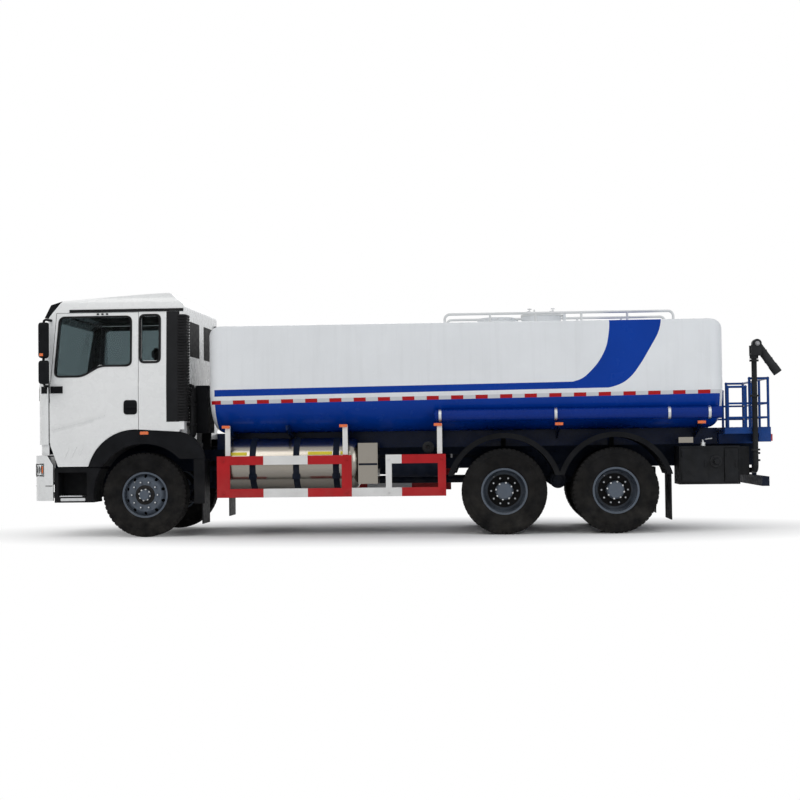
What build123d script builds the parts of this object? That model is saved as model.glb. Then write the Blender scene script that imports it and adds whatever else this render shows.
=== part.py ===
"""Water tanker truck: a six-by-four chassis with tilting cab, tank, rear platform and water gun.

Sizes are in millimetres. X points forward, Y to the left and Z up; the origin lies on the ground
in the middle of the whole truck. Stations along the truck are measured from the front axle.
"""
import os
from math import cos, radians, sin

from build123d import *

os.makedirs("parts", exist_ok=True)

# Truck layout
FRONT_OVERHANG = 1480.0     # bumper face to front axle
WHEELBASE = 4600.0          # front axle to first rear axle
TANDEM_SPREAD = 1400.0      # first to second rear axle
HALF_WIDTH = 1250.0         # half the width over the hose tubes
GUN_BEHIND_AXLE = 1770.0    # last axle to the gun's riser

# Fits and clearances
RUN_FIT = 0.05              # radial play of a turning pin
SEAT_GAP = 0.3              # gap between round faces that sit on each other
PANEL_GAP = 6.0             # gap between a moving panel and its neighbours

# Water gun
GUN_DROP = 55.0             # stowed barrel below the horizontal, degrees
GUN_BARREL = 455.0          # pivot to nozzle tip
NOZZLE_RADIUS = 58.0
GUN_SIDE = 1030.0           # riser from the centre line
GUN_PIVOT_Z = 2370.0
RISER_RADIUS = 34.0

GUN_OFFSET = 34.0           # barrel pivot behind the riser
GUN_FALL = radians(GUN_DROP)
GUN_REACH = GUN_OFFSET + GUN_BARREL * cos(GUN_FALL) + NOZZLE_RADIUS * sin(GUN_FALL)
OVERALL = FRONT_OVERHANG + WHEELBASE + TANDEM_SPREAD + GUN_BEHIND_AXLE + GUN_REACH
FRONT_X = OVERALL / 2
AXLE_1 = FRONT_X - FRONT_OVERHANG
AXLE_2 = AXLE_1 - WHEELBASE
AXLE_3 = AXLE_2 - TANDEM_SPREAD
GUN_X = AXLE_3 - GUN_BEHIND_AXLE

# Wheels
TYRE_RADIUS = 542.5
TYRE_HALF = 150.0           # half the tyre's width
TREAD_HALF = 126.0
RIM_RADIUS = 284.0          # outside of the rim's barrel
RIM_HALF = 102.0            # half the barrel between its flanges
FLANGE = 14.0               # flange thickness
FLANGE_RADIUS = 304.0
STUD_CIRCLE = 167.5
STUD_COUNT = 10
FRONT_TYRE_Y = 1035.0       # front tyre's middle from the centre line
TWIN_Y = 917.5              # middle between the twin tyres
TWIN_HALF = 172.5           # half the distance between the twin tyres
FRONT_SPINDLE = 45.0
REAR_SPINDLE = 60.0

# Frame
RAIL_HALF = 430.0           # outside of the rails from the centre line
RAIL_FLANGE = 80.0
RAIL_SHEET = 9.0
FRAME_TOP = 1110.0
FRAME_BOTTOM = 830.0
FRAME_FRONT = AXLE_1 + 1370.0
FRAME_REAR = AXLE_1 - 7880.0

# Steering
KINGPIN_Y = 840.0
KINGPIN_RADIUS = 24.0
ARM_BACK = 280.0            # tie rod behind the axle
TIE_ROD_Z = 440.0

# Cab
CAB_SETBACK = 60.0          # cab front behind the bumper face
CAB_LENGTH = 1950.0
CAB_HALF = 1225.0
CAB_WALL = 60.0
CAB_SKIRT = 915.0           # lower edge of the doors
CAB_SILL = 1200.0           # lower edge of the cab's front wall
BELT_Z = 1740.0
WINDSCREEN_RAKE = 190.0     # set back of the windscreen's top edge
ROOF_SPLIT = 2896.0         # lower edge of the roof panel
WINDSCREEN_TOP = ROOF_SPLIT - 56.0
ROOF_TOP = ROOF_SPLIT + 254.0
TUMBLEHOME = 55.0           # lean of each side up to the roof
KNEE_RISE = 4.0             # the side's bend above the roof panel's lower edge
FRONT_BOW = 50.0
CAB_CORNER = 150.0
FLOOR_BOTTOM = 1250.0
FLOOR_TOP = 1330.0
TUNNEL_HALF = 430.0
TUNNEL_TOP = 1570.0
CAB_FRONT = FRONT_X - CAB_SETBACK
CAB_REAR = CAB_FRONT - CAB_LENGTH
PIVOT_X = CAB_FRONT - 130.0
PIVOT_Z = 1150.0
PIVOT_PIN = 16.0
TRIM_LENGTH = 230.0         # black corner strip at the cab's rear edge

# Doors
DOOR_FRONT = CAB_FRONT - 200.0
DOOR_REAR = AXLE_1 + 64.0
DOOR_TOP = ROOF_SPLIT - PANEL_GAP

# Front mudguard
ARCH_RADIUS = 655.0
ARCH_SHEET = 14.0
ARCH_TOP = 1376.0
ARCH_FRONT = AXLE_1 + 712.0
ARCH_REAR = AXLE_1 - 790.0
ARCH_SPLIT = 1000.0         # the mudguard below this stays on the chassis behind the wheel

# Tank
TANK_FRONT = AXLE_1 - 833.0
TANK_REAR = AXLE_1 - 7368.0
TANK_HALF = 1200.0
TANK_BOTTOM = 1320.0
TANK_TOP = 2745.0
TANK_CROWN = 60.0
TANK_UPPER_CORNER = 420.0
TANK_LOWER_CORNER = 560.0
TANK_HEAD = 165.0           # rounding of the end heads
HATCH_X = AXLE_1 - 5133.0
HATCH_RADIUS = 264.0
HATCH_TOP = TANK_TOP + 90.0
DOME_X = AXLE_1 - 4551.0

# Rear platform
DECK_FRONT = TANK_REAR - 30.0
DECK_REAR = AXLE_1 - 7975.0
DECK_HALF = 980.0
DECK_TOP = 1317.0
DECK_BOTTOM = 1236.0
RAIL_TUBE = 17.0
PLATFORM_RAIL_Z = 1935.0


def box_between(x0, x1, y0, y1, z0, z1, mode=Mode.ADD):
    """A box given by its corners."""
    with Locations(((x0 + x1) / 2, (y0 + y1) / 2, (z0 + z1) / 2)):
        Box(abs(x1 - x0), abs(y1 - y0), abs(z1 - z0), mode=mode)


def rod_y(x, z, radius, y0, y1, mode=Mode.ADD):
    """A cylinder along Y between two stations."""
    with Locations(Location((x, (y0 + y1) / 2, z), (90, 0, 0))):
        Cylinder(radius, abs(y1 - y0), mode=mode)


def rod_x(y, z, radius, x0, x1, mode=Mode.ADD):
    """A cylinder along X between two stations."""
    with Locations(Location(((x0 + x1) / 2, y, z), (0, 90, 0))):
        Cylinder(radius, abs(x1 - x0), mode=mode)


def rod_z(x, y, radius, z0, z1, mode=Mode.ADD):
    """An upright cylinder between two heights."""
    with Locations((x, y, (z0 + z1) / 2)):
        Cylinder(radius, abs(z1 - z0), mode=mode)


def pipe(points, radius, bend):
    """A round tube bent along the points."""
    with BuildLine() as path:
        FilletPolyline(*points, radius=bend)
    with BuildSketch(Plane(path.line ^ 0)) as ring:
        Circle(radius)
    sweep(sections=ring.sketch, path=path.line)


def side_plane(y):
    """The upright plane facing right at one side station, with X across and Z up."""
    return Plane(origin=(0, y, 0), x_dir=(1, 0, 0), z_dir=(0, -1, 0))


def wheel_plane(axle_x):
    """The plane through a wheel's axis, with Y across and the radius up."""
    return Plane(origin=(axle_x, 0, TYRE_RADIUS), x_dir=(0, 1, 0), z_dir=(1, 0, 0))


def wheel_axis(axle_x):
    return Axis((axle_x, 0, TYRE_RADIUS), (0, 1, 0))


def tyre_points(middle):
    """Half section of a tyre as distances across and radii."""
    bead = RIM_HALF - SEAT_GAP
    inner = RIM_RADIUS + SEAT_GAP
    half = [
        (bead, inner),
        (bead, FLANGE_RADIUS + 4),
        (TYRE_HALF - 12, FLANGE_RADIUS + 40),
        (TYRE_HALF, 420),
        (TYRE_HALF - 4, 475),
        (TREAD_HALF + 6, TYRE_RADIUS - 14),
        (TREAD_HALF, TYRE_RADIUS),
    ]
    across = [(middle + u, r) for u, r in half]
    return across + [(middle - u, r) for u, r in reversed(half)]


def ring_form(name, axle_x, outlines):
    """One body turned about a wheel's axis from closed outlines."""
    with BuildPart() as turned:
        with BuildSketch(wheel_plane(axle_x)):
            for outline in outlines:
                Polygon(*outline, align=None)
        revolve(axis=wheel_axis(axle_x))
    turned.part.label = name
    return turned


# Wheels on the front axle
front_rim_outline = [
    (-35, FRONT_SPINDLE + RUN_FIT),
    (150, FRONT_SPINDLE + RUN_FIT),
    (150, 0),
    (178, 0),
    (178, 60),
    (104, 76),
    (104, 212),
    (46, 268),
    (46, RIM_RADIUS - FLANGE),
    (RIM_HALF + FLANGE, RIM_RADIUS - FLANGE),
    (RIM_HALF + FLANGE, FLANGE_RADIUS),
    (RIM_HALF, FLANGE_RADIUS),
    (RIM_HALF, RIM_RADIUS),
    (-RIM_HALF, RIM_RADIUS),
    (-RIM_HALF, FLANGE_RADIUS),
    (-RIM_HALF - FLANGE, FLANGE_RADIUS),
    (-RIM_HALF - FLANGE, RIM_RADIUS - FLANGE),
    (26, RIM_RADIUS - FLANGE),
    (28, 262),
    (88, 206),
    (88, 195),
    (-35, 195),
]
# Twin wheels on a rear axle, measured from the middle between them
twin_inner_edge = TWIN_HALF - RIM_HALF
twin_outer_edge = TWIN_HALF + RIM_HALF
rear_rim_outline = [
    (-260, REAR_SPINDLE + RUN_FIT),
    (150, REAR_SPINDLE + RUN_FIT),
    (150, 0),
    (236, 0),
    (236, 92),
    (214, 110),
    (28, 118),
    (28, 212),
    (14, 212),
    (14, 236),
    (88, RIM_RADIUS - FLANGE),
    (twin_outer_edge + FLANGE, RIM_RADIUS - FLANGE),
    (twin_outer_edge + FLANGE, FLANGE_RADIUS),
    (twin_outer_edge, FLANGE_RADIUS),
    (twin_outer_edge, RIM_RADIUS),
    (twin_inner_edge, RIM_RADIUS),
    (twin_inner_edge, FLANGE_RADIUS),
    (twin_inner_edge - FLANGE, FLANGE_RADIUS),
    (twin_inner_edge - FLANGE, RIM_RADIUS - FLANGE + 2),
    (0, 240),
    (FLANGE - twin_inner_edge, RIM_RADIUS - FLANGE + 2),
    (FLANGE - twin_inner_edge, FLANGE_RADIUS),
    (-twin_inner_edge, FLANGE_RADIUS),
    (-twin_inner_edge, RIM_RADIUS),
    (-twin_outer_edge, RIM_RADIUS),
    (-twin_outer_edge, FLANGE_RADIUS),
    (-twin_outer_edge - FLANGE, FLANGE_RADIUS),
    (-twin_outer_edge - FLANGE, RIM_RADIUS - FLANGE),
    (-88, RIM_RADIUS - FLANGE),
    (-14, 236),
    (-14, 205),
    (-260, 205),
]
# name, axle station, side (left 1, right -1), rim outline, rim middle, tyre middles, nut face, hole circle
wheels = [
    ("front_left", AXLE_1, 1, front_rim_outline, FRONT_TYRE_Y, (0,), 104, 238),
    ("front_right", AXLE_1, -1, front_rim_outline, FRONT_TYRE_Y, (0,), 104, 238),
    ("rear_1_left", AXLE_2, 1, rear_rim_outline, TWIN_Y, (TWIN_HALF, -TWIN_HALF), 28, 0),
    ("rear_1_right", AXLE_2, -1, rear_rim_outline, TWIN_Y, (TWIN_HALF, -TWIN_HALF), 28, 0),
    ("rear_2_left", AXLE_3, 1, rear_rim_outline, TWIN_Y, (TWIN_HALF, -TWIN_HALF), 28, 0),
    ("rear_2_right", AXLE_3, -1, rear_rim_outline, TWIN_Y, (TWIN_HALF, -TWIN_HALF), 28, 0),
]
for wheel, axle_x, side, outline, middle, tyre_middles, nut_face, hole_circle in wheels:
    rim_points = [(side * (middle + u), r) for u, r in outline]
    with BuildPart() as rim:
        with BuildSketch(wheel_plane(axle_x)):
            Polygon(*rim_points, align=None)
        revolve(axis=wheel_axis(axle_x))
        face = Plane(
            origin=(axle_x, side * (middle + nut_face), TYRE_RADIUS), x_dir=(1, 0, 0), z_dir=(0, side, 0)
        )
        with BuildSketch(face):
            with PolarLocations(STUD_CIRCLE, STUD_COUNT):
                RegularPolygon(17, 6)
        extrude(amount=32)
        if hole_circle:
            with BuildSketch(face):
                with PolarLocations(hole_circle, STUD_COUNT, start_angle=18):
                    Circle(21)
            extrude(amount=-80, mode=Mode.SUBTRACT)
    rim.part.label = "rim_" + wheel
    export_step(rim.part, "parts/rim_" + wheel + ".step")

    tyre = ring_form("tyre_" + wheel, axle_x, [tyre_points(side * middle + u) for u in tyre_middles])
    export_step(tyre.part, "parts/tyre_" + wheel + ".step")


# Ladder frame with cross members, tilt brackets and the rear tow jaw
CROSS_MEMBERS = (1320, 300, -1500, -2500, -3500, -4350, -5300, -6250, -7100, -7830)
TOW_PIN = 20.0
TOW_Z = 930.0
TOW_X = FRAME_REAR - 78.0
with BuildPart() as frame:
    for side in (1, -1):
        outer = side * RAIL_HALF
        inner = side * (RAIL_HALF - RAIL_FLANGE)
        web = side * (RAIL_HALF - RAIL_SHEET)
        box_between(FRAME_REAR, FRAME_FRONT, outer, web, FRAME_BOTTOM, FRAME_TOP)
        box_between(FRAME_REAR, FRAME_FRONT, outer, inner, FRAME_TOP - RAIL_SHEET, FRAME_TOP)
        box_between(FRAME_REAR, FRAME_FRONT, outer, inner, FRAME_BOTTOM, FRAME_BOTTOM + RAIL_SHEET)
        lug_y0 = side * (RAIL_HALF - 60)
        box_between(PIVOT_X - 60, PIVOT_X + 34, lug_y0, outer, FRAME_TOP - 20, PIVOT_Z)
        rod_y(PIVOT_X, PIVOT_Z, 34, lug_y0, outer)
        rod_y(PIVOT_X, PIVOT_Z, PIVOT_PIN + RUN_FIT, lug_y0 - side, outer + side, mode=Mode.SUBTRACT)
    for station in CROSS_MEMBERS:
        x = AXLE_1 + station
        under_engine = station == 300
        low = FRAME_BOTTOM - 100 if under_engine else FRAME_BOTTOM + 30
        high = FRAME_BOTTOM if under_engine else FRAME_TOP - 30
        reach = RAIL_HALF if under_engine else RAIL_HALF - RAIL_SHEET
        box_between(x - 45, x + 45, -reach, reach, low, high)
    for low in (TOW_Z - 60, TOW_Z + 35):
        box_between(TOW_X - 40, FRAME_REAR + 20, -55, 55, low, low + 25)
    rod_z(TOW_X, 0, TOW_PIN, TOW_Z - 80, TOW_Z + 80, mode=Mode.SUBTRACT)
frame.part.label = "frame"
export_step(frame.part, "parts/frame.step")


# Engine with gearbox and radiator as one plain block
ENGINE_HALF = 335.0
ENGINE_TOP = 1490.0
SHAFT_Z = 680.0
GEARBOX_REAR = AXLE_1 - 1400.0
with BuildPart() as engine:
    box_between(AXLE_1 - 540, AXLE_1 + 900, -ENGINE_HALF, ENGINE_HALF, FRAME_BOTTOM + 10, 1200)
    box_between(AXLE_1 - 480, AXLE_1 + 860, -230, 230, 1200, ENGINE_TOP)
    box_between(AXLE_1 + 900, AXLE_1 + 1010, -ENGINE_HALF, ENGINE_HALF, 745, 1230)
    box_between(GEARBOX_REAR, AXLE_1 - 540, -210, 210, 590, 1150)
    for side in (1, -1):
        for x in (AXLE_1 + 600, AXLE_1 - 250):
            box_between(x - 50, x + 50, side * ENGINE_HALF, side * (RAIL_HALF - RAIL_SHEET), 900, 1000)
engine.part.label = "engine"
export_step(engine.part, "parts/engine.step")


# Front axle beam with kingpin eyes
BEAM_TOP = 505.0
BEAM_DEPTH = 110.0
EYE_RADIUS = 55.0
with BuildPart() as front_axle:
    with BuildSketch(Plane(origin=(AXLE_1, 0, 0), x_dir=(0, 1, 0), z_dir=(1, 0, 0))):
        Polygon(
            (-560, BEAM_TOP - BEAM_DEPTH),
            (560, BEAM_TOP - BEAM_DEPTH),
            (KINGPIN_Y - 60, TYRE_RADIUS - 55),
            (KINGPIN_Y, TYRE_RADIUS - 55),
            (KINGPIN_Y, TYRE_RADIUS + 55),
            (KINGPIN_Y - 100, TYRE_RADIUS + 55),
            (540, BEAM_TOP),
            (-540, BEAM_TOP),
            (100 - KINGPIN_Y, TYRE_RADIUS + 55),
            (-KINGPIN_Y, TYRE_RADIUS + 55),
            (-KINGPIN_Y, TYRE_RADIUS - 55),
            (60 - KINGPIN_Y, TYRE_RADIUS - 55),
            align=None,
        )
    extrude(amount=48, both=True)
    for side in (1, -1):
        rod_z(AXLE_1, side * KINGPIN_Y, EYE_RADIUS, TYRE_RADIUS - 65, TYRE_RADIUS + 65)
        rod_z(
            AXLE_1, side * KINGPIN_Y, KINGPIN_RADIUS + RUN_FIT, TYRE_RADIUS - 90, TYRE_RADIUS + 90,
            mode=Mode.SUBTRACT,
        )
front_axle.part.label = "front_axle"
export_step(front_axle.part, "parts/front_axle.step")


# Steering knuckles and the tie rod behind the axle
JOINT_PIN = 14.0
TIE_X = AXLE_1 - ARM_BACK
TIE_Y = KINGPIN_Y
for name, side in (("left", 1), ("right", -1)):
    king = side * KINGPIN_Y
    with BuildPart() as knuckle:
        for low in (TYRE_RADIUS - 118, TYRE_RADIUS + 71):
            rod_z(AXLE_1, king, 50, low, low + 47)
            box_between(AXLE_1 - 50, AXLE_1 + 50, king, king + side * 94, low, low + 47)
        box_between(
            AXLE_1 - 50, AXLE_1 + 50, king + side * 62, king + side * 94, TYRE_RADIUS - 118, TYRE_RADIUS + 118
        )
        rod_z(AXLE_1, king, KINGPIN_RADIUS, TYRE_RADIUS - 110, TYRE_RADIUS + 110)
        rod_y(AXLE_1, TYRE_RADIUS, FRONT_SPINDLE, king + side * 70, side * (FRONT_TYRE_Y + 146))
        with BuildSketch(Plane.XY.offset(TYRE_RADIUS - 118)):
            with BuildLine():
                Polyline(
                    (AXLE_1 - 20, king + side * 45),
                    (AXLE_1 - 20, king - side * 45),
                    (TIE_X, side * TIE_Y - side * 30),
                    (TIE_X, side * TIE_Y + side * 30),
                    close=True,
                )
            make_face()
            with Locations((TIE_X, side * TIE_Y)):
                Circle(30)
        extrude(amount=36)
        rod_z(TIE_X, side * TIE_Y, JOINT_PIN, TIE_ROD_Z - 44, TYRE_RADIUS - 100)
    knuckle.part.label = "knuckle_" + name
    export_step(knuckle.part, "parts/knuckle_" + name + ".step")

with BuildPart() as tie_rod:
    rod_y(TIE_X, TIE_ROD_Z - 48, 17, -TIE_Y, TIE_Y)
    for side in (1, -1):
        rod_z(TIE_X, side * TIE_Y, 28, TIE_ROD_Z - 72, TIE_ROD_Z - 24)
    for side in (1, -1):
        rod_z(
            TIE_X, side * TIE_Y, JOINT_PIN + RUN_FIT, TIE_ROD_Z - 46, TIE_ROD_Z, mode=Mode.SUBTRACT
        )
tie_rod.part.label = "tie_rod"
export_step(tie_rod.part, "parts/tie_rod.step")


# Leaf springs: front ones on the beam, rear ones over the trunnion between the rear axles
SPRING_Y = 400.0
SPRING_HALF = 40.0
REAR_SPRING_Y = 505.0
REAR_SPRING_HALF = 42.0
AXLE_SEAT_Z = 640.0
TRUNNION_X = (AXLE_2 + AXLE_3) / 2
TRUNNION_Z = 668.0
TRUNNION_RADIUS = 75.0
HALF_SPREAD = TANDEM_SPREAD / 2


def bow_spring(middle_x, side_y, half_width, half_length, low_mid, low_end, high_mid, high_end):
    """A leaf pack as one bowed bar."""
    with BuildSketch(side_plane(side_y)) as bow:
        with BuildLine():
            ThreePointArc(
                (middle_x - half_length, low_end), (middle_x, low_mid), (middle_x + half_length, low_end)
            )
            Line((middle_x + half_length, low_end), (middle_x + half_length, high_end))
            ThreePointArc(
                (middle_x + half_length, high_end), (middle_x, high_mid), (middle_x - half_length, high_end)
            )
            Line((middle_x - half_length, high_end), (middle_x - half_length, low_end))
        make_face()
    extrude(bow.sketch, amount=half_width, both=True)


with BuildPart() as leaf_springs:
    for side in (1, -1):
        y = side * SPRING_Y
        bow_spring(AXLE_1, y, SPRING_HALF, 720, 525, 690, 595, 720)
        box_between(AXLE_1 - 70, AXLE_1 + 70, y - 45, y + 45, BEAM_TOP, 560)
        for end in (-700, 700):
            x = AXLE_1 + end
            box_between(x - 35, x + 35, y - SPRING_HALF, y + SPRING_HALF, 680, FRAME_BOTTOM)
        y = side * REAR_SPRING_Y
        bow_spring(TRUNNION_X, y, REAR_SPRING_HALF, HALF_SPREAD + 70, 720, 652, 870, 700)
        for end in (-HALF_SPREAD, HALF_SPREAD):
            x = TRUNNION_X + end
            box_between(x - 60, x + 60, y - REAR_SPRING_HALF, y + REAR_SPRING_HALF, AXLE_SEAT_Z, 690)
        rod_y(TRUNNION_X, TRUNNION_Z, TRUNNION_RADIUS, side * RAIL_HALF, side * 582)
        box_between(TRUNNION_X - 90, TRUNNION_X + 90, y - 45, y + 45, TRUNNION_Z + 20, 790)
        box_between(
            TRUNNION_X - 140, TRUNNION_X + 140, side * RAIL_HALF, side * (RAIL_HALF + 28),
            TRUNNION_Z - 40, FRAME_TOP - 80,
        )
leaf_springs.part.label = "leaf_springs"
export_step(leaf_springs.part, "parts/leaf_springs.step")


# Rear axle housings and the drive shafts between gearbox and axles
NOSE_REACH = 340.0
with BuildPart() as rear_axles:
    for axle_x in (AXLE_2, AXLE_3):
        rod_y(axle_x, TYRE_RADIUS, 75, -650, 650)
        rod_y(axle_x, TYRE_RADIUS, REAR_SPINDLE, -TWIN_Y - 146, TWIN_Y + 146)
        with Locations((axle_x, 0, TYRE_RADIUS + 20)):
            Sphere(205)
        rod_x(0, SHAFT_Z, 95, axle_x, axle_x + NOSE_REACH)
        rod_x(0, SHAFT_Z, 95, axle_x - 230, axle_x)
        for side in (1, -1):
            y = side * REAR_SPRING_Y
            box_between(axle_x - 80, axle_x + 80, y - 55, y + 55, TYRE_RADIUS, AXLE_SEAT_Z)
rear_axles.part.label = "rear_axles"
export_step(rear_axles.part, "parts/rear_axles.step")

with BuildPart() as drive_shafts:
    for start, end in ((GEARBOX_REAR, AXLE_2 + NOSE_REACH), (AXLE_2 - 230, AXLE_3 + NOSE_REACH)):
        rod_x(0, SHAFT_Z, 52, start, end)
        rod_x(0, SHAFT_Z, 80, start, start - 60)
        rod_x(0, SHAFT_Z, 80, end + 60, end)
drive_shafts.part.label = "drive_shafts"
export_step(drive_shafts.part, "parts/drive_shafts.step")


# Front bumper shell with lamp openings, and the lamps
BUMPER_SHEET = 30.0
BUMPER_BOTTOM = 480.0
BUMPER_TOP = 1060.0
BUMPER_HALF = 1240.0
BUMPER_RETURN = AXLE_1 + 1171.0
LAMP_LOW = 790.0
LAMP_HIGH = 960.0
LAMP_INNER = 760.0
LAMP_REAR = FRONT_X - 190.0


def bow_outline(front, rear, half, corner, sheet):
    """Plan outline with a bowed front, moved in by the sheet thickness."""
    with BuildLine() as edge:
        Line((rear, -half + sheet), (front - FRONT_BOW - sheet, -half + sheet))
        ThreePointArc(
            (front - FRONT_BOW - sheet, -half + sheet),
            (front - sheet, 0),
            (front - FRONT_BOW - sheet, half - sheet),
        )
        Line((front - FRONT_BOW - sheet, half - sheet), (rear, half - sheet))
        Line((rear, half - sheet), (rear, -half + sheet))
    outline = make_face(edge.edges())
    fillet(outline.vertices().group_by(Axis.X)[-1], corner - sheet)


def bumper_shell(name, outer, inner):
    """A band of the bumper between two depths below its outer skin."""
    with BuildPart() as shell:
        with BuildSketch(Plane.XY.offset(BUMPER_BOTTOM)):
            bow_outline(FRONT_X, BUMPER_RETURN, BUMPER_HALF, 230, outer)
        extrude(amount=BUMPER_TOP - BUMPER_BOTTOM)
        with BuildSketch(Plane.XY.offset(BUMPER_BOTTOM)):
            bow_outline(FRONT_X, BUMPER_RETURN, BUMPER_HALF, 230, inner)
        extrude(amount=BUMPER_TOP - BUMPER_BOTTOM, mode=Mode.SUBTRACT)
    shell.part.label = name
    return shell


bumper_band = bumper_shell("bumper_band", 0, BUMPER_SHEET)
TOW_EYE = 22.0
TOW_EYE_X = FRONT_X - 92.0
with BuildPart() as front_bumper:
    add(bumper_band.part)
    with BuildSketch(side_plane(0)):
        Polygon(
            (BUMPER_RETURN - 1, BUMPER_TOP + 1),
            (BUMPER_RETURN + 75, BUMPER_TOP + 1),
            (BUMPER_RETURN, BUMPER_TOP - 120),
            (BUMPER_RETURN - 1, BUMPER_TOP - 120),
            align=None,
        )
    extrude(amount=BUMPER_HALF + 10, both=True, mode=Mode.SUBTRACT)
    for side in (1, -1):
        box_between(
            LAMP_REAR, FRONT_X + 10, side * LAMP_INNER, side * (BUMPER_HALF + 10), LAMP_LOW, LAMP_HIGH,
            mode=Mode.SUBTRACT,
        )
        box_between(FRAME_FRONT, FRONT_X - 22, side * 350, side * RAIL_HALF, 860, 1040)
    box_between(FRONT_X - 100, FRONT_X + 10, -480, 480, 560, 660, mode=Mode.SUBTRACT)
    for side in (1, -1):
        for low in (700, 760):
            box_between(TOW_EYE_X - 38, FRONT_X - 20, side * 350, side * 445, low, low + 22)
        box_between(TOW_EYE_X - 10, FRONT_X - 22, side * 350, side * 366, 700, 870)
        rod_z(TOW_EYE_X, side * 405, TOW_EYE, 690, 790, mode=Mode.SUBTRACT)
front_bumper.part.label = "front_bumper"
export_step(front_bumper.part, "parts/front_bumper.step")

with BuildPart() as front_lamps:
    for side in (1, -1):
        box_between(
            LAMP_REAR + SEAT_GAP, FRONT_X + 10, side * (LAMP_INNER + SEAT_GAP), side * (BUMPER_HALF + 10),
            LAMP_LOW, LAMP_HIGH - SEAT_GAP,
        )
    add(bumper_band.part, mode=Mode.INTERSECT)
front_lamps.part.label = "front_lamps"
export_step(front_lamps.part, "parts/front_lamps.step")


# Cab: one outer form, hollowed and split where its panels meet
def side_prism(points, mode):
    """A prism through the whole cab from an outline seen from the side."""
    with BuildSketch(side_plane(0)) as outline:
        Polygon(*points, align=None)
    extrude(outline.sketch, amount=HALF_WIDTH + 100, both=True, mode=mode)


def cab_form(name, inset):
    """The cab's outer form with every wall moved in by the inset, open downward if moved in."""
    low = CAB_SKIRT if inset == 0 else CAB_SKIRT - 100
    with BuildPart() as form:
        with BuildSketch(side_plane(0)):
            profile = Polygon(
                (CAB_FRONT - inset, low),
                (CAB_FRONT - inset, BELT_Z),
                (CAB_FRONT - WINDSCREEN_RAKE - inset, WINDSCREEN_TOP),
                (CAB_FRONT - WINDSCREEN_RAKE - 170 - inset, ROOF_TOP - 100 - inset),
                (CAB_REAR + 210 + inset, ROOF_TOP - inset),
                (CAB_REAR + inset, ROOF_TOP - 170 - inset),
                (CAB_REAR + inset, low),
                align=None,
            )
            fillet([v for v in profile.vertices() if v.Y > WINDSCREEN_TOP - 5], 90)
        extrude(amount=HALF_WIDTH, both=True)
        with BuildSketch(Plane.XY):
            bow_outline(CAB_FRONT, CAB_REAR, CAB_HALF, CAB_CORNER, inset)
        extrude(amount=ROOF_TOP + 100, mode=Mode.INTERSECT)
        with BuildSketch(Plane.YZ):
            half = CAB_HALF - inset
            top = ROOF_TOP - inset
            section = Polygon(
                (-half, low),
                (half, low),
                (half, 1900),
                (half - TUMBLEHOME, ROOF_SPLIT + KNEE_RISE),
                (half - TUMBLEHOME - 30, top),
                (TUMBLEHOME + 30 - half, top),
                (TUMBLEHOME - half, ROOF_SPLIT + KNEE_RISE),
                (-half, 1900),
                align=None,
            )
            fillet([v for v in section.vertices() if v.Y > top - 5], 150 - inset)
        extrude(amount=OVERALL, both=True, mode=Mode.INTERSECT)
    form.part.label = name
    return form


GLASS_DEPTH = 16.0
GLASS_SHEET = 8.0
cab_outer = cab_form("cab_outer", 0)
cab_inner = cab_form("cab_inner", CAB_WALL)
glass_outer = cab_form("glass_outer", GLASS_DEPTH)
glass_inner = cab_form("glass_inner", GLASS_DEPTH + GLASS_SHEET)
DOOR_RAKE = 90.0            # set back of the door's upper front corner
RAKE_RATIO = DOOR_RAKE / (WINDSCREEN_TOP - BELT_Z)
DOOR_TOE = 111.0            # set back of the door's lower front corner
DOOR_KINK_Z = 1222.0
HINGE_X = DOOR_FRONT - 12.0
HINGE_Y = CAB_HALF - 12.0
HINGE_PIN = 6.0
HINGE_NOSE = 12.0


def door_points(grow):
    """The door's outline seen from the side, widened all round."""
    top = DOOR_TOP + grow
    return [
        (DOOR_FRONT + grow, DOOR_KINK_Z - grow),
        (DOOR_FRONT + grow, BELT_Z),
        (DOOR_FRONT + grow - RAKE_RATIO * (top - BELT_Z), top),
        (DOOR_REAR - grow, top),
        (DOOR_REAR - grow, CAB_SKIRT - grow),
        (DOOR_FRONT + grow - DOOR_TOE, CAB_SKIRT - grow),
    ]


def arch_prism(grow, depth, mode):
    """The front mudguard's outer outline as a prism of a given half depth."""
    with BuildSketch(side_plane(0)) as arch:
        with BuildLine():
            front = (ARCH_FRONT + grow, CAB_SKIRT - PANEL_GAP - 1)
            crest = (AXLE_1 + 60, ARCH_TOP + grow)
            back = (AXLE_1 - 480, ARCH_TOP - 34 + grow)
            low = (ARCH_REAR - grow, ARCH_SPLIT - grow)
            ThreePointArc(front, (ARCH_FRONT - 300 + grow * 0.7, 1298 + grow * 0.7), crest)
            Line(crest, back)
            ThreePointArc(back, (AXLE_1 - 690 - grow * 0.7, 1232 + grow * 0.7), low)
            Line(low, (ARCH_REAR - grow, CAB_SKIRT - PANEL_GAP - 1))
            Line((ARCH_REAR - grow, CAB_SKIRT - PANEL_GAP - 1), front)
        make_face()
    extrude(arch.sketch, amount=depth, both=True, mode=mode)


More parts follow.
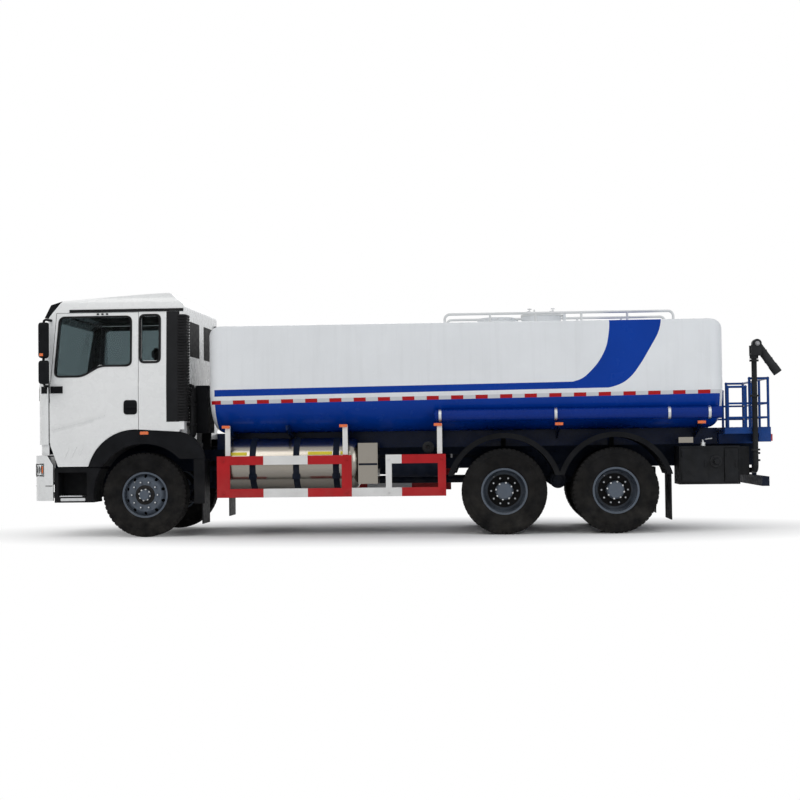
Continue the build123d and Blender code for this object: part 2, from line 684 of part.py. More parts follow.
WINDOW_TOP = ROOF_SPLIT - 71.0
WINDOW_LOW = 2085.0
WINDOW_FRONT = DOOR_FRONT - 84.0
WINDOW = [
    (WINDOW_FRONT, WINDOW_LOW),
    (WINDOW_FRONT - RAKE_RATIO * (WINDOW_TOP - WINDOW_LOW), WINDOW_TOP),
    (DOOR_REAR + 105, WINDOW_TOP),
    (DOOR_REAR + 105, 2217),
    (DOOR_REAR + 500, 2217),
    (DOOR_REAR + 730, WINDOW_LOW),
]
QUARTER_WINDOW = [
    (DOOR_REAR - 40, 2265),
    (DOOR_REAR - 40, WINDOW_TOP + 10),
    (CAB_REAR + TRIM_LENGTH + 100, WINDOW_TOP + 10),
    (CAB_REAR + TRIM_LENGTH + 100, 2265),
]
SCREEN_HALF = 1070.0
SCREEN_LOW = 1800.0
SCREEN_HIGH = WINDSCREEN_TOP - 40.0
REAR_WINDOW = (150.0, 820.0, 2330.0, ROOF_SPLIT - 106.0)
GRILLE_HALF = 820.0
GRILLE_LOW = 1330.0
GRILLE_HIGH = 1610.0


def screen_opening(mode, trim):
    """The windscreen's opening as a block through the front wall."""
    box_between(
        CAB_FRONT - 420, CAB_FRONT + 50, trim - SCREEN_HALF, SCREEN_HALF - trim,
        SCREEN_LOW + trim, SCREEN_HIGH - trim, mode=mode,
    )


# Lower front strip at each corner, set back so that it dips into the bumper as the cab tilts
VALANCE_SET = 22.0
VALANCE_SHEET = 28.0
VALANCE_INNER = 475.0
valance_low = BUMPER_TOP + PANEL_GAP + 2.0
with BuildPart() as valance:
    with BuildSketch(Plane.XY.offset(valance_low)):
        bow_outline(CAB_FRONT, CAB_REAR, CAB_HALF, CAB_CORNER, VALANCE_SET)
    extrude(amount=CAB_SILL + 4 - valance_low)
    with BuildSketch(Plane.XY.offset(valance_low)):
        bow_outline(CAB_FRONT, CAB_REAR, CAB_HALF, CAB_CORNER, VALANCE_SET + VALANCE_SHEET)
    extrude(amount=CAB_SILL + 4 - valance_low, mode=Mode.SUBTRACT)
    box_between(
        CAB_REAR - 10, DOOR_FRONT + PANEL_GAP, -HALF_WIDTH, HALF_WIDTH, 0, CAB_SILL + 10, mode=Mode.SUBTRACT
    )
    box_between(
        CAB_REAR, CAB_FRONT + 10, -VALANCE_INNER, VALANCE_INNER, 0, CAB_SILL + 10, mode=Mode.SUBTRACT
    )
valance.part.label = "valance"

with BuildPart() as cab_front:
    add(cab_outer.part)
    add(cab_inner.part, mode=Mode.SUBTRACT)
    edge = DOOR_FRONT + PANEL_GAP
    side_prism(
        [
            (CAB_FRONT + 100, CAB_SILL),
            (edge, CAB_SILL),
            (edge, BELT_Z),
            (edge - RAKE_RATIO * (ROOF_SPLIT - BELT_Z), ROOF_SPLIT),
            (CAB_FRONT + 100, ROOF_SPLIT),
        ],
        Mode.INTERSECT,
    )
    screen_opening(Mode.SUBTRACT, 0)
    box_between(
        CAB_FRONT - 30, CAB_FRONT + 50, -GRILLE_HALF, GRILLE_HALF, GRILLE_LOW, GRILLE_HIGH,
        mode=Mode.SUBTRACT,
    )
    add(valance.part)
    for side in (1, -1):
        rod_z(HINGE_X, side * HINGE_Y, HINGE_NOSE * 2, CAB_SILL - 10, 2010, mode=Mode.SUBTRACT)
    for side in (1, -1):
        rod_z(HINGE_X, side * HINGE_Y, HINGE_PIN, BELT_Z - 80, 2060)
cab_front.part.label = "cab_front"
export_step(cab_front.part, "parts/cab_front.step")

with BuildPart() as grille:
    box_between(
        CAB_FRONT - 30 + SEAT_GAP, CAB_FRONT - 14, -GRILLE_HALF, GRILLE_HALF, GRILLE_LOW, GRILLE_HIGH
    )
    for row in range(4):
        low = GRILLE_LOW + 20 + row * 68
        box_between(CAB_FRONT - 15, CAB_FRONT, -GRILLE_HALF, GRILLE_HALF, low, low + 40)
    add(cab_outer.part, mode=Mode.INTERSECT)
grille.part.label = "grille"
export_step(grille.part, "parts/grille.step")

with BuildPart() as cab_roof:
    add(cab_outer.part)
    add(cab_inner.part, mode=Mode.SUBTRACT)
    box_between(
        CAB_REAR - 50, CAB_FRONT + 50, -HALF_WIDTH, HALF_WIDTH, 0, ROOF_SPLIT, mode=Mode.SUBTRACT
    )
cab_roof.part.label = "cab_roof"
export_step(cab_roof.part, "parts/cab_roof.step")

with BuildPart() as cab_rear_wall:
    add(cab_outer.part)
    add(cab_inner.part, mode=Mode.SUBTRACT)
    box_between(
        CAB_REAR - 50, CAB_REAR + CAB_WALL, -HALF_WIDTH, HALF_WIDTH, FLOOR_BOTTOM, ROOF_SPLIT,
        mode=Mode.INTERSECT,
    )
    for side in (1, -1):
        box_between(
            CAB_REAR - 50, CAB_REAR + 100, side * REAR_WINDOW[0], side * REAR_WINDOW[1],
            REAR_WINDOW[2], REAR_WINDOW[3], mode=Mode.SUBTRACT,
        )
        box_between(
            CAB_REAR - 50, CAB_REAR + 100, side * (CAB_HALF - CAB_WALL - 20), side * HALF_WIDTH,
            0, ARCH_TOP, mode=Mode.SUBTRACT,
        )
    box_between(
        CAB_REAR - 50, CAB_REAR + 100, 40 - TUNNEL_HALF, TUNNEL_HALF - 40, 0, TUNNEL_TOP - 40,
        mode=Mode.SUBTRACT,
    )
cab_rear_wall.part.label = "cab_rear_wall"
export_step(cab_rear_wall.part, "parts/cab_rear_wall.step")

with BuildPart() as cab_sides:
    add(cab_outer.part)
    add(cab_inner.part, mode=Mode.SUBTRACT)
    box_between(
        CAB_REAR + TRIM_LENGTH, DOOR_REAR - PANEL_GAP, -HALF_WIDTH, HALF_WIDTH, FLOOR_TOP, ROOF_SPLIT,
        mode=Mode.INTERSECT,
    )
    arch_prism(PANEL_GAP, HALF_WIDTH, Mode.SUBTRACT)
    side_prism(QUARTER_WINDOW, Mode.SUBTRACT)
cab_sides.part.label = "cab_sides"
export_step(cab_sides.part, "parts/cab_sides.step")

with BuildPart() as corner_trims:
    add(cab_outer.part)
    add(cab_inner.part, mode=Mode.SUBTRACT)
    box_between(
        CAB_REAR + CAB_WALL, CAB_REAR + TRIM_LENGTH, -HALF_WIDTH, HALF_WIDTH, FLOOR_BOTTOM + 100, ROOF_SPLIT,
        mode=Mode.INTERSECT,
    )
    arch_prism(PANEL_GAP, HALF_WIDTH, Mode.SUBTRACT)
    trim_inner = CAB_HALF - CAB_WALL - TUMBLEHOME - 10
    box_between(
        CAB_REAR, CAB_FRONT, -trim_inner, trim_inner, 0, ROOF_TOP, mode=Mode.SUBTRACT
    )
corner_trims.part.label = "corner_trims"
export_step(corner_trims.part, "parts/corner_trims.step")

with BuildPart() as cab_glass:
    screen_opening(Mode.ADD, SEAT_GAP)
    side_prism(QUARTER_WINDOW, Mode.ADD)
    for side in (1, -1):
        box_between(
            CAB_REAR - 50, CAB_REAR + 100, side * REAR_WINDOW[0], side * REAR_WINDOW[1],
            REAR_WINDOW[2], REAR_WINDOW[3],
        )
    add(glass_outer.part, mode=Mode.INTERSECT)
    add(glass_inner.part, mode=Mode.SUBTRACT)
cab_glass.part.label = "cab_glass"
export_step(cab_glass.part, "parts/cab_glass.step")

# Cab floor with engine tunnel and the tilt pins
floor_half = CAB_HALF - CAB_WALL - PANEL_GAP
with BuildPart() as cab_floor:
    floor_front = CAB_FRONT - FRONT_BOW - CAB_WALL - 60
    box_between(CAB_REAR + CAB_WALL, floor_front, -floor_half, floor_half, FLOOR_BOTTOM, FLOOR_TOP)
    box_between(
        CAB_REAR + CAB_WALL, CAB_FRONT - 520, -TUNNEL_HALF, TUNNEL_HALF, FLOOR_BOTTOM, TUNNEL_TOP
    )
    box_between(
        CAB_REAR + CAB_WALL, CAB_FRONT - 560, -TUNNEL_HALF + 40, TUNNEL_HALF - 40,
        FLOOR_BOTTOM - 1, TUNNEL_TOP - 40, mode=Mode.SUBTRACT,
    )
    box_between(
        floor_front - 40, CAB_FRONT - CAB_WALL - SEAT_GAP, -900, 900, FLOOR_BOTTOM, FLOOR_TOP
    )
    add(cab_inner.part, mode=Mode.INTERSECT)
    for side in (1, -1):
        lug_in = side * (RAIL_HALF + PANEL_GAP)
        lug_out = side * (RAIL_HALF + 40)
        box_between(PIVOT_X - 40, PIVOT_X + 30, lug_in, lug_out, PIVOT_Z, FLOOR_BOTTOM + 5)
        rod_y(PIVOT_X, PIVOT_Z, 30, lug_in, lug_out)
        rod_y(PIVOT_X, PIVOT_Z, PIVOT_PIN, side * (RAIL_HALF - 64), lug_out)
cab_floor.part.label = "cab_floor"
export_step(cab_floor.part, "parts/cab_floor.step")

# Doors with their glass: the right ones, then their mirror images on the left
with BuildPart() as door_right:
    add(cab_outer.part)
    add(cab_inner.part, mode=Mode.SUBTRACT)
    side_prism(door_points(0), Mode.INTERSECT)
    box_between(
        CAB_REAR, CAB_FRONT, TUMBLEHOME + CAB_WALL + 40 - CAB_HALF, -HALF_WIDTH, 0, ROOF_TOP,
        mode=Mode.INTERSECT,
    )
    arch_prism(PANEL_GAP, HALF_WIDTH, Mode.SUBTRACT)
    side_prism(WINDOW, Mode.SUBTRACT)
    box_between(
        HINGE_X, DOOR_FRONT + 5, HINGE_NOSE - HINGE_Y, -HALF_WIDTH, DOOR_KINK_Z - 100, BELT_Z + 90,
        mode=Mode.SUBTRACT,
    )
    rod_z(HINGE_X, -HINGE_Y, HINGE_NOSE, DOOR_KINK_Z, BELT_Z)
    rod_z(HINGE_X, -HINGE_Y, HINGE_PIN + RUN_FIT, BELT_Z - 90, 2100, mode=Mode.SUBTRACT)
door_right.part.label = "door_right"
export_step(door_right.part, "parts/door_right.step")

with BuildPart() as door_left:
    mirror(door_right.part, about=Plane.XZ)
door_left.part.label = "door_left"
export_step(door_left.part, "parts/door_left.step")

with BuildPart() as door_glass_right:
    side_prism(WINDOW, Mode.ADD)
    add(glass_outer.part, mode=Mode.INTERSECT)
    add(glass_inner.part, mode=Mode.SUBTRACT)
    box_between(CAB_REAR, CAB_FRONT, 0, -HALF_WIDTH, 0, ROOF_TOP, mode=Mode.INTERSECT)
door_glass_right.part.label = "door_glass_right"
export_step(door_glass_right.part, "parts/door_glass_right.step")

with BuildPart() as door_glass_left:
    mirror(door_glass_right.part, about=Plane.XZ)
door_glass_left.part.label = "door_glass_left"
export_step(door_glass_left.part, "parts/door_glass_left.step")

# Front mudguards: the part on the cab, and the part behind the wheel on the chassis
GUARD_INNER = 770.0
GUARD_OUTER = CAB_HALF + 10.0
with BuildPart() as cab_mudguards:
    arch_prism(0, GUARD_OUTER, Mode.ADD)
    rod_y(AXLE_1, TYRE_RADIUS, ARCH_RADIUS, -HALF_WIDTH, HALF_WIDTH, mode=Mode.SUBTRACT)
    box_between(
        ARCH_REAR - 50, AXLE_1, -HALF_WIDTH, HALF_WIDTH, 0, ARCH_SPLIT, mode=Mode.SUBTRACT
    )
    with BuildSketch(side_plane(0)):
        with Locations((AXLE_1, TYRE_RADIUS)):
            Circle(ARCH_RADIUS + ARCH_SHEET)
        with BuildLine():
            Polyline(
                (ARCH_REAR - 100, 3000), (ARCH_FRONT + 100, 3000), (ARCH_FRONT + 100, CAB_SKIRT - 60),
                (ARCH_REAR - 100, CAB_SKIRT - 60), close=True,
            )
        make_face(mode=Mode.INTERSECT)
    extrude(amount=GUARD_OUTER, both=True, mode=Mode.ADD)
    rod_y(AXLE_1, TYRE_RADIUS, ARCH_RADIUS, -HALF_WIDTH, HALF_WIDTH, mode=Mode.SUBTRACT)
    box_between(
        ARCH_REAR - 50, AXLE_1, -HALF_WIDTH, HALF_WIDTH, 0, ARCH_SPLIT, mode=Mode.SUBTRACT
    )
    box_between(
        AXLE_1, ARCH_FRONT + 50, -HALF_WIDTH, HALF_WIDTH, 0, CAB_SKIRT - PANEL_GAP, mode=Mode.SUBTRACT
    )
    box_between(
        ARCH_REAR - 50, ARCH_FRONT + 50, -GUARD_INNER, GUARD_INNER, 0, 2000, mode=Mode.SUBTRACT
    )
    with BuildSketch(side_plane(0)):
        Rectangle(9000, 9000)
        with Locations((AXLE_1, TYRE_RADIUS)):
            Circle(ARCH_RADIUS + ARCH_SHEET, mode=Mode.SUBTRACT)
    extrude(amount=CAB_HALF - CAB_WALL, both=True, mode=Mode.SUBTRACT)
    for side in (1, -1):
        box_between(
            AXLE_1 - 120, AXLE_1 + 40, side * 900, side * 1000, TYRE_RADIUS + ARCH_RADIUS + 5, FLOOR_BOTTOM
        )
cab_mudguards.part.label = "cab_mudguards"
export_step(cab_mudguards.part, "parts/cab_mudguards.step")

# Chassis mudguards: behind the front wheels, and over the rear wheels with their flaps
REAR_ARCH = 672.0
REAR_ARCH_SHEET = 18.0
REAR_LIP = 66.0
FLAP_BOTTOM = 170.0
with BuildPart() as mudguards:
    for side in (1, -1):
        inner = side * GUARD_INNER
        outer = side * GUARD_OUTER
        box_between(
            ARCH_REAR, ARCH_REAR + 140, side * 1090, outer, 430, ARCH_SPLIT - PANEL_GAP
        )
        rod_y(AXLE_1, TYRE_RADIUS, ARCH_RADIUS, side * 400, side * HALF_WIDTH, mode=Mode.SUBTRACT)
        box_between(ARCH_REAR + 20, ARCH_REAR + 36, inner, outer, FLAP_BOTTOM, ARCH_SPLIT - PANEL_GAP)
        box_between(ARCH_REAR + 5, ARCH_REAR + 60, side * RAIL_HALF, side * (GUARD_INNER + 20), 900, 960)
    for side in (1, -1):
        for axle_x in (AXLE_2, AXLE_3):
            rod_y(axle_x, TYRE_RADIUS, REAR_ARCH + REAR_ARCH_SHEET, side * 595, side * 1240)
            rod_y(axle_x, TYRE_RADIUS, REAR_ARCH + REAR_LIP, side * 1214, side * 1240)
    for axle_x in (AXLE_2, AXLE_3):
        rod_y(axle_x, TYRE_RADIUS, REAR_ARCH, -HALF_WIDTH, HALF_WIDTH, mode=Mode.SUBTRACT)
    box_between(
        AXLE_3 - 1000, AXLE_2 + 1000, -HALF_WIDTH, HALF_WIDTH, -400, TYRE_RADIUS + 200, mode=Mode.SUBTRACT
    )
    for side in (1, -1):
        for axle_x in (AXLE_2, AXLE_3):
            box_between(axle_x - 30, axle_x + 30, side * RAIL_HALF, side * 585, 1040, 1100)
            box_between(axle_x - 30, axle_x + 30, side * 560, side * 585, 1040, 1231)
            box_between(axle_x - 30, axle_x + 30, side * 560, side * 660, 1216, 1231)
        flap_x = AXLE_3 - REAR_ARCH
        box_between(flap_x - 18, flap_x - 4, side * 600, side * 1235, FLAP_BOTTOM, 800)
mudguards.part.label = "mudguards"
export_step(mudguards.part, "parts/mudguards.step")

# Entry steps in front of the front wheels
STEP_TOP = CAB_SKIRT - 15.0
with BuildPart() as cab_steps:
    for side in (1, -1):
        box_between(AXLE_1 + 560, BUMPER_RETURN - 12, side * 780, side * 1215, 455, STEP_TOP)
        rod_y(AXLE_1, TYRE_RADIUS, ARCH_RADIUS, side * 500, side * HALF_WIDTH, mode=Mode.SUBTRACT)
        box_between(
            AXLE_1 + 740, BUMPER_RETURN - 60, side * 960, side * 1216, 530, STEP_TOP - 60,
            mode=Mode.SUBTRACT,
        )
        box_between(AXLE_1 + 860, AXLE_1 + 960, side * RAIL_HALF, side * 790, 840, STEP_TOP)
cab_steps.part.label = "cab_steps"
export_step(cab_steps.part, "parts/cab_steps.step")

# Cab fittings: visor, mirrors, seats, dashboard with steering wheel
with BuildPart() as sun_visor:
    with BuildSketch(side_plane(0)):
        Polygon(
            (CAB_FRONT - 100, WINDSCREEN_TOP + 5),
            (CAB_FRONT - 185, WINDSCREEN_TOP + 170),
            (CAB_FRONT - 330, WINDSCREEN_TOP + 215),
            (CAB_FRONT - 250, WINDSCREEN_TOP + 5),
            align=None,
        )
    extrude(amount=1060, both=True)
    add(cab_outer.part, mode=Mode.SUBTRACT)
sun_visor.part.label = "sun_visor"
export_step(sun_visor.part, "parts/sun_visor.step")

MIRROR_X = CAB_FRONT - 185.0
MIRROR_TOP = WINDSCREEN_TOP - 40.0
MIRROR_FOOT = MIRROR_TOP - 850.0
MIRROR_Y = 1390.0
MIRROR_HALF = 100.0
with BuildPart() as mirrors:
    for side in (1, -1):
        pipe(
            [
                (MIRROR_X - 55, side * 1060, MIRROR_TOP),
                (MIRROR_X + 5, side * MIRROR_Y, MIRROR_TOP),
                (MIRROR_X + 5, side * MIRROR_Y, MIRROR_FOOT),
                (MIRROR_X + 5, side * 1060, MIRROR_FOOT),
            ],
            16, 60,
        )
        # lower and upper edge of each housing below the arm; its rear face is turned inward
        for low, high in ((495, 45), (825, 530)):
            with BuildSketch(Plane.XY.offset(MIRROR_TOP - low)):
                Polygon(
                    (MIRROR_X + 50, side * (MIRROR_Y - MIRROR_HALF)),
                    (MIRROR_X + 50, side * (MIRROR_Y + MIRROR_HALF)),
                    (MIRROR_X - 98, side * (MIRROR_Y + MIRROR_HALF)),
                    (MIRROR_X - 24, side * (MIRROR_Y - MIRROR_HALF)),
                    align=None,
                )
            extrude(amount=low - high)
    add(cab_outer.part, mode=Mode.SUBTRACT)
mirrors.part.label = "mirrors"
export_step(mirrors.part, "parts/mirrors.step")

SEAT_Y = 710.0
SEAT_HALF = 260.0
SEAT_Z = 1660.0
with BuildPart() as seats:
    for side in (1, -1):
        y0 = side * (SEAT_Y - SEAT_HALF)
        y1 = side * (SEAT_Y + SEAT_HALF)
        box_between(CAB_FRONT - 1400, CAB_FRONT - 1000, y0 + side * 40, y1 - side * 40, FLOOR_TOP, SEAT_Z)
        box_between(CAB_FRONT - 1460, CAB_FRONT - 930, y0, y1, SEAT_Z, SEAT_Z + 140)
        with BuildSketch(side_plane(side * SEAT_Y)):
            Polygon(
                (CAB_FRONT - 1380, SEAT_Z + 60),
                (CAB_FRONT - 1440, SEAT_Z + 800),
                (CAB_FRONT - 1540, SEAT_Z + 800),
                (CAB_FRONT - 1510, SEAT_Z + 60),
                align=None,
            )
        extrude(amount=SEAT_HALF - 20, both=True)
seats.part.label = "seats"
export_step(seats.part, "parts/seats.step")

STEER_Y = 700.0
STEER_TILT = Location((CAB_FRONT - 660, STEER_Y, 1930), (0, -35, 0))
with BuildPart() as dashboard:
    with BuildSketch(side_plane(0)):
        Polygon(
            (CAB_FRONT - 125, FLOOR_TOP),
            (CAB_FRONT - 125, 1760),
            (CAB_FRONT - 190, 1850),
            (CAB_FRONT - 480, 1850),
            (CAB_FRONT - 515, 1760),
            (CAB_FRONT - 490, 1650),
            (CAB_FRONT - 270, 1600),
            (CAB_FRONT - 240, FLOOR_TOP),
            align=None,
        )
    extrude(amount=1110, both=True)
    with Locations(STEER_TILT):
        Torus(225, 17)
        Box(420, 46, 18)
        Cylinder(60, 30)
    with Locations(STEER_TILT * Location((0, 0, -160))):
        Cylinder(32, 320)
dashboard.part.label = "dashboard"
export_step(dashboard.part, "parts/dashboard.step")

with BuildPart() as air_intake:
    box_between(CAB_REAR - 230, CAB_REAR - 60, 350, 780, 1330, 1950)
    box_between(CAB_REAR - 190, CAB_REAR - 90, 350, RAIL_HALF, FRAME_TOP, 1330)
air_intake.part.label = "air_intake"
export_step(air_intake.part, "parts/air_intake.step")


# Water tank with its hatch collar and the bolted dome
def tank_form(name, grow):
    """The tank's body, widened all round."""
    with BuildPart() as body:
        with BuildSketch(Plane.YZ.offset(TANK_REAR - grow)):
            half = TANK_HALF + grow
            with BuildLine():
                Line((-half, TANK_BOTTOM - grow), (half, TANK_BOTTOM - grow))
                Line((half, TANK_BOTTOM - grow), (half, TANK_TOP - TANK_CROWN + grow))
                ThreePointArc(
                    (half, TANK_TOP - TANK_CROWN + grow),
                    (0, TANK_TOP + grow),
                    (-half, TANK_TOP - TANK_CROWN + grow),
                )
                Line((-half, TANK_TOP - TANK_CROWN + grow), (-half, TANK_BOTTOM - grow))
            section = make_face()
            fillet(section.vertices().group_by(Axis.Y)[0], TANK_LOWER_CORNER + grow)
            fillet(
                [v for v in section.vertices() if v.Y > TANK_TOP - TANK_CROWN - 1], TANK_UPPER_CORNER + grow
            )
        extrude(amount=TANK_FRONT - TANK_REAR + 2 * grow)
        heads = body.edges().group_by(Axis.X)
        fillet(heads[0] + heads[-1], TANK_HEAD + grow)
    body.part.label = name
    return body


tank_body = tank_form("tank_body", 0)
tank_clear = tank_form("tank_clear", SEAT_GAP)
LID_HINGE_X = HATCH_X - HATCH_RADIUS - 46.0
LID_HINGE_Z = HATCH_TOP + 14.0
LID_PIN = 8.0
with BuildPart() as tank:
    add(tank_body.part)
    rod_z(HATCH_X, 0, HATCH_RADIUS, TANK_TOP - 40, HATCH_TOP)
    rod_z(HATCH_X, 0, HATCH_RADIUS - 30, TANK_TOP - 120, HATCH_TOP, mode=Mode.SUBTRACT)
    rod_z(DOME_X, 0, 275, TANK_TOP - 30, TANK_TOP + 45)
    rod_z(DOME_X, 0, 225, TANK_TOP, TANK_TOP + 80)
    for side in (1, -1):
        box_between(
            LID_HINGE_X - 18, LID_HINGE_X + 18, side * 46, side * 70, TANK_TOP - 40, LID_HINGE_Z + 18
        )
    rod_y(LID_HINGE_X, LID_HINGE_Z, LID_PIN, -60, 60)
tank.part.label = "tank"
export_step(tank.part, "parts/tank.step")

with BuildPart() as hatch_lid:
    rod_z(HATCH_X, 0, HATCH_RADIUS + 8, HATCH_TOP, HATCH_TOP + 26)
    rod_z(HATCH_X, 0, HATCH_RADIUS - 70, HATCH_TOP + 20, HATCH_TOP + 44)
    box_between(LID_HINGE_X, HATCH_X - 200, -40, 40, HATCH_TOP + 1, HATCH_TOP + 26)
    rod_y(LID_HINGE_X, LID_HINGE_Z, 13, -40, 40)
    rod_y(LID_HINGE_X, LID_HINGE_Z, LID_PIN + RUN_FIT, -41, 41, mode=Mode.SUBTRACT)
    pipe(
        [
            (HATCH_X + 90, -80, HATCH_TOP + 40), (HATCH_X + 90, -80, HATCH_TOP + 90),
            (HATCH_X + 90, 80, HATCH_TOP + 90), (HATCH_X + 90, 80, HATCH_TOP + 40),
        ],
        9, 25,
    )
hatch_lid.part.label = "hatch_lid"
export_step(hatch_lid.part, "parts/hatch_lid.step")

TOP_RAIL_FRONT = AXLE_1 - 3853.0
TOP_RAIL_REAR = AXLE_1 - 6833.0
TOP_RAIL_Z = HATCH_TOP + 15.0
TOP_RAIL_Y = 480.0
with BuildPart() as top_rails:
    for side in (1, -1):
        y = side * TOP_RAIL_Y
        pipe(
            [
                (TOP_RAIL_FRONT, y, TANK_TOP - 60), (TOP_RAIL_FRONT, y, TOP_RAIL_Z),
                (TOP_RAIL_REAR, y, TOP_RAIL_Z), (TOP_RAIL_REAR, y, TANK_TOP - 60),
            ],
            RAIL_TUBE, 70,
        )
        for step in range(1, 5):
            x = TOP_RAIL_FRONT + (TOP_RAIL_REAR - TOP_RAIL_FRONT) * step / 5
            rod_z(x, y, RAIL_TUBE - 2, TANK_TOP - 60, TOP_RAIL_Z)
    add(tank_clear.part, mode=Mode.SUBTRACT)
top_rails.part.label = "top_rails"
export_step(top_rails.part, "parts/top_rails.step")

# Sub-frame under the tank, with outrigger plates
GUARD_STATIONS = (-1086.0, -2590.0, -3790.0)
OUTRIGGERS = GUARD_STATIONS + (-1840.0, -5300.0, -7080.0)
OUTRIGGER_END = 1185.0
with BuildPart() as tank_subframe:
    for side in (1, -1):
        box_between(
            TANK_REAR - 12, TANK_FRONT + 20, side * (RAIL_HALF - RAIL_FLANGE), side * RAIL_HALF,
            FRAME_TOP, TANK_BOTTOM,
        )
    for station in OUTRIGGERS:
        with BuildSketch(Plane.YZ.offset(AXLE_1 + station)):
            for side in (1, -1):
                Polygon(
                    (side * 360, 1200),
                    (side * 430, 1200),
                    (side * OUTRIGGER_END, 1352),
                    (side * OUTRIGGER_END, 1412),
                    (side * 700, 1412),
                    (side * 360, 1310),
                    align=None,
                )
        extrude(amount=12, both=True)
    for station in (-1300, -3000, -4300, -6200, -7300):
        x = AXLE_1 + station
        box_between(x - 30, x + 30, 20 - RAIL_HALF, RAIL_HALF - 20, FRAME_TOP + 40, TANK_BOTTOM)
    add(tank_clear.part, mode=Mode.SUBTRACT)
    for side in (1, -1):
        box_between(
            TANK_REAR + 200, TANK_FRONT - 200, side * (RAIL_HALF - RAIL_FLANGE), side * RAIL_HALF,
            TANK_BOTTOM - 5, TANK_BOTTOM,
        )
tank_subframe.part.label = "tank_subframe"
export_step(tank_subframe.part, "parts/tank_subframe.step")

# Hose tubes along both sides
HOSE_Y = 1168.0
HOSE_Z = 1510.0
HOSE_RADIUS = 76.0
HOSE_FRONT = AXLE_1 - 3760.0
HOSE_REAR = AXLE_1 - 7330.0
with BuildPart() as hose_tubes:
    for side in (1, -1):
        y = side * HOSE_Y
        rod_x(y, HOSE_Z, HOSE_RADIUS, HOSE_FRONT, HOSE_REAR)
        rod_x(y, HOSE_Z, HOSE_RADIUS - 16, HOSE_FRONT, HOSE_FRONT + 35)
        for station in (-3800, -5260, -6680, -7180):
            x = AXLE_1 + station
            rod_x(y, HOSE_Z, HOSE_RADIUS + 5, x - 25, x + 25)
            box_between(x - 25, x + 25, side * 980, side * 1140, HOSE_Z - 50, HOSE_Z - 10)
    add(tank_clear.part, mode=Mode.SUBTRACT)
hose_tubes.part.label = "hose_tubes"
export_step(hose_tubes.part, "parts/hose_tubes.step")

# Side guards with their hangers
GUARD_IN = 1205.0
GUARD_OUT = 1240.0
# front station, rear station, low, high
guard_bars = [
    (-949, -2672, 912, 1024),
    (-949, -3866, 497, 608),
    (-3104, -3866, 912, 1024),
    (-949, -1115, 608, 912),
    (-2544, -2672, 608, 912),
    (-3104, -3180, 608, 912),
    (-3764, -3866, 608, 912),
]
with BuildPart() as side_guards:
    for side in (1, -1):
        for front, rear, low, high in guard_bars:
            box_between(AXLE_1 + front, AXLE_1 + rear, side * GUARD_IN, side * GUARD_OUT, low, high)
        for station in GUARD_STATIONS:
            x = AXLE_1 + station
            box_between(x - 32, x + 32, side * OUTRIGGER_END, side * (GUARD_IN + 5), 940, 1412)
side_guards.part.label = "side_guards"
export_step(side_guards.part, "parts/side_guards.step")

# Gas fuel cylinder on the left, battery box and air tanks
GAS_Y = 838.0
GAS_Z = 912.0
GAS_RADIUS = 335.0
GAS_REAR = AXLE_1 - 2755.0
with BuildPart() as gas_cylinder:
    rod_x(GAS_Y, GAS_Z, GAS_RADIUS, AXLE_1 - 1000, GAS_REAR)
    ends = gas_cylinder.edges().filter_by(GeomType.CIRCLE)
    fillet(ends, 110)
    box_between(GAS_REAR - 240, GAS_REAR + 10, GAS_Y - 120, GAS_Y + 290, 655, 1175)
    for station in (-1395, -1955, -2465):
        x = AXLE_1 + station
        rod_x(GAS_Y, GAS_Z, GAS_RADIUS + 6, x - 38, x + 38)
        box_between(x - 60, x + 60, RAIL_HALF, 640, 850, 1000)
gas_cylinder.part.label = "gas_cylinder"
export_step(gas_cylinder.part, "parts/gas_cylinder.step")

with BuildPart() as side_boxes:
    box_between(AXLE_1 - 1150, AXLE_1 - 1900, -RAIL_HALF, -1150, 580, 1060)
    # sideways place, front end and rear end of each air tank
    for y, front, rear in (
        (-640, -2050, -3300), (-930, -2050, -3300), (600, -3160, -3820), (890, -3160, -3820),
    ):
        rod_x(y, 860, 128, AXLE_1 + front, AXLE_1 + rear)
    for side, middle in ((-1, -2400), (-1, -2950), (1, -3350), (1, -3650)):
        x = AXLE_1 + middle
        box_between(x - 25, x + 25, side * RAIL_HALF, side * 960, 900, 1010)
side_boxes.part.label = "side_boxes"
export_step(side_boxes.part, "parts/side_boxes.step")

# Rear platform, its rails, and the rear bar
with BuildPart() as platform_deck:
    box_between(DECK_REAR, DECK_FRONT, -DECK_HALF, DECK_HALF, DECK_BOTTOM, DECK_TOP)
    box_between(DECK_REAR, DECK_REAR + 150, -DECK_HALF, DECK_HALF, DECK_BOTTOM - 106, DECK_BOTTOM)
    for side in (1, -1):
        box_between(
            FRAME_REAR, DECK_FRONT, side * (RAIL_HALF - RAIL_FLANGE), side * RAIL_HALF, FRAME_TOP, DECK_BOTTOM
        )
platform_deck.part.label = "platform_deck"
export_step(platform_deck.part, "parts/platform_deck.step")

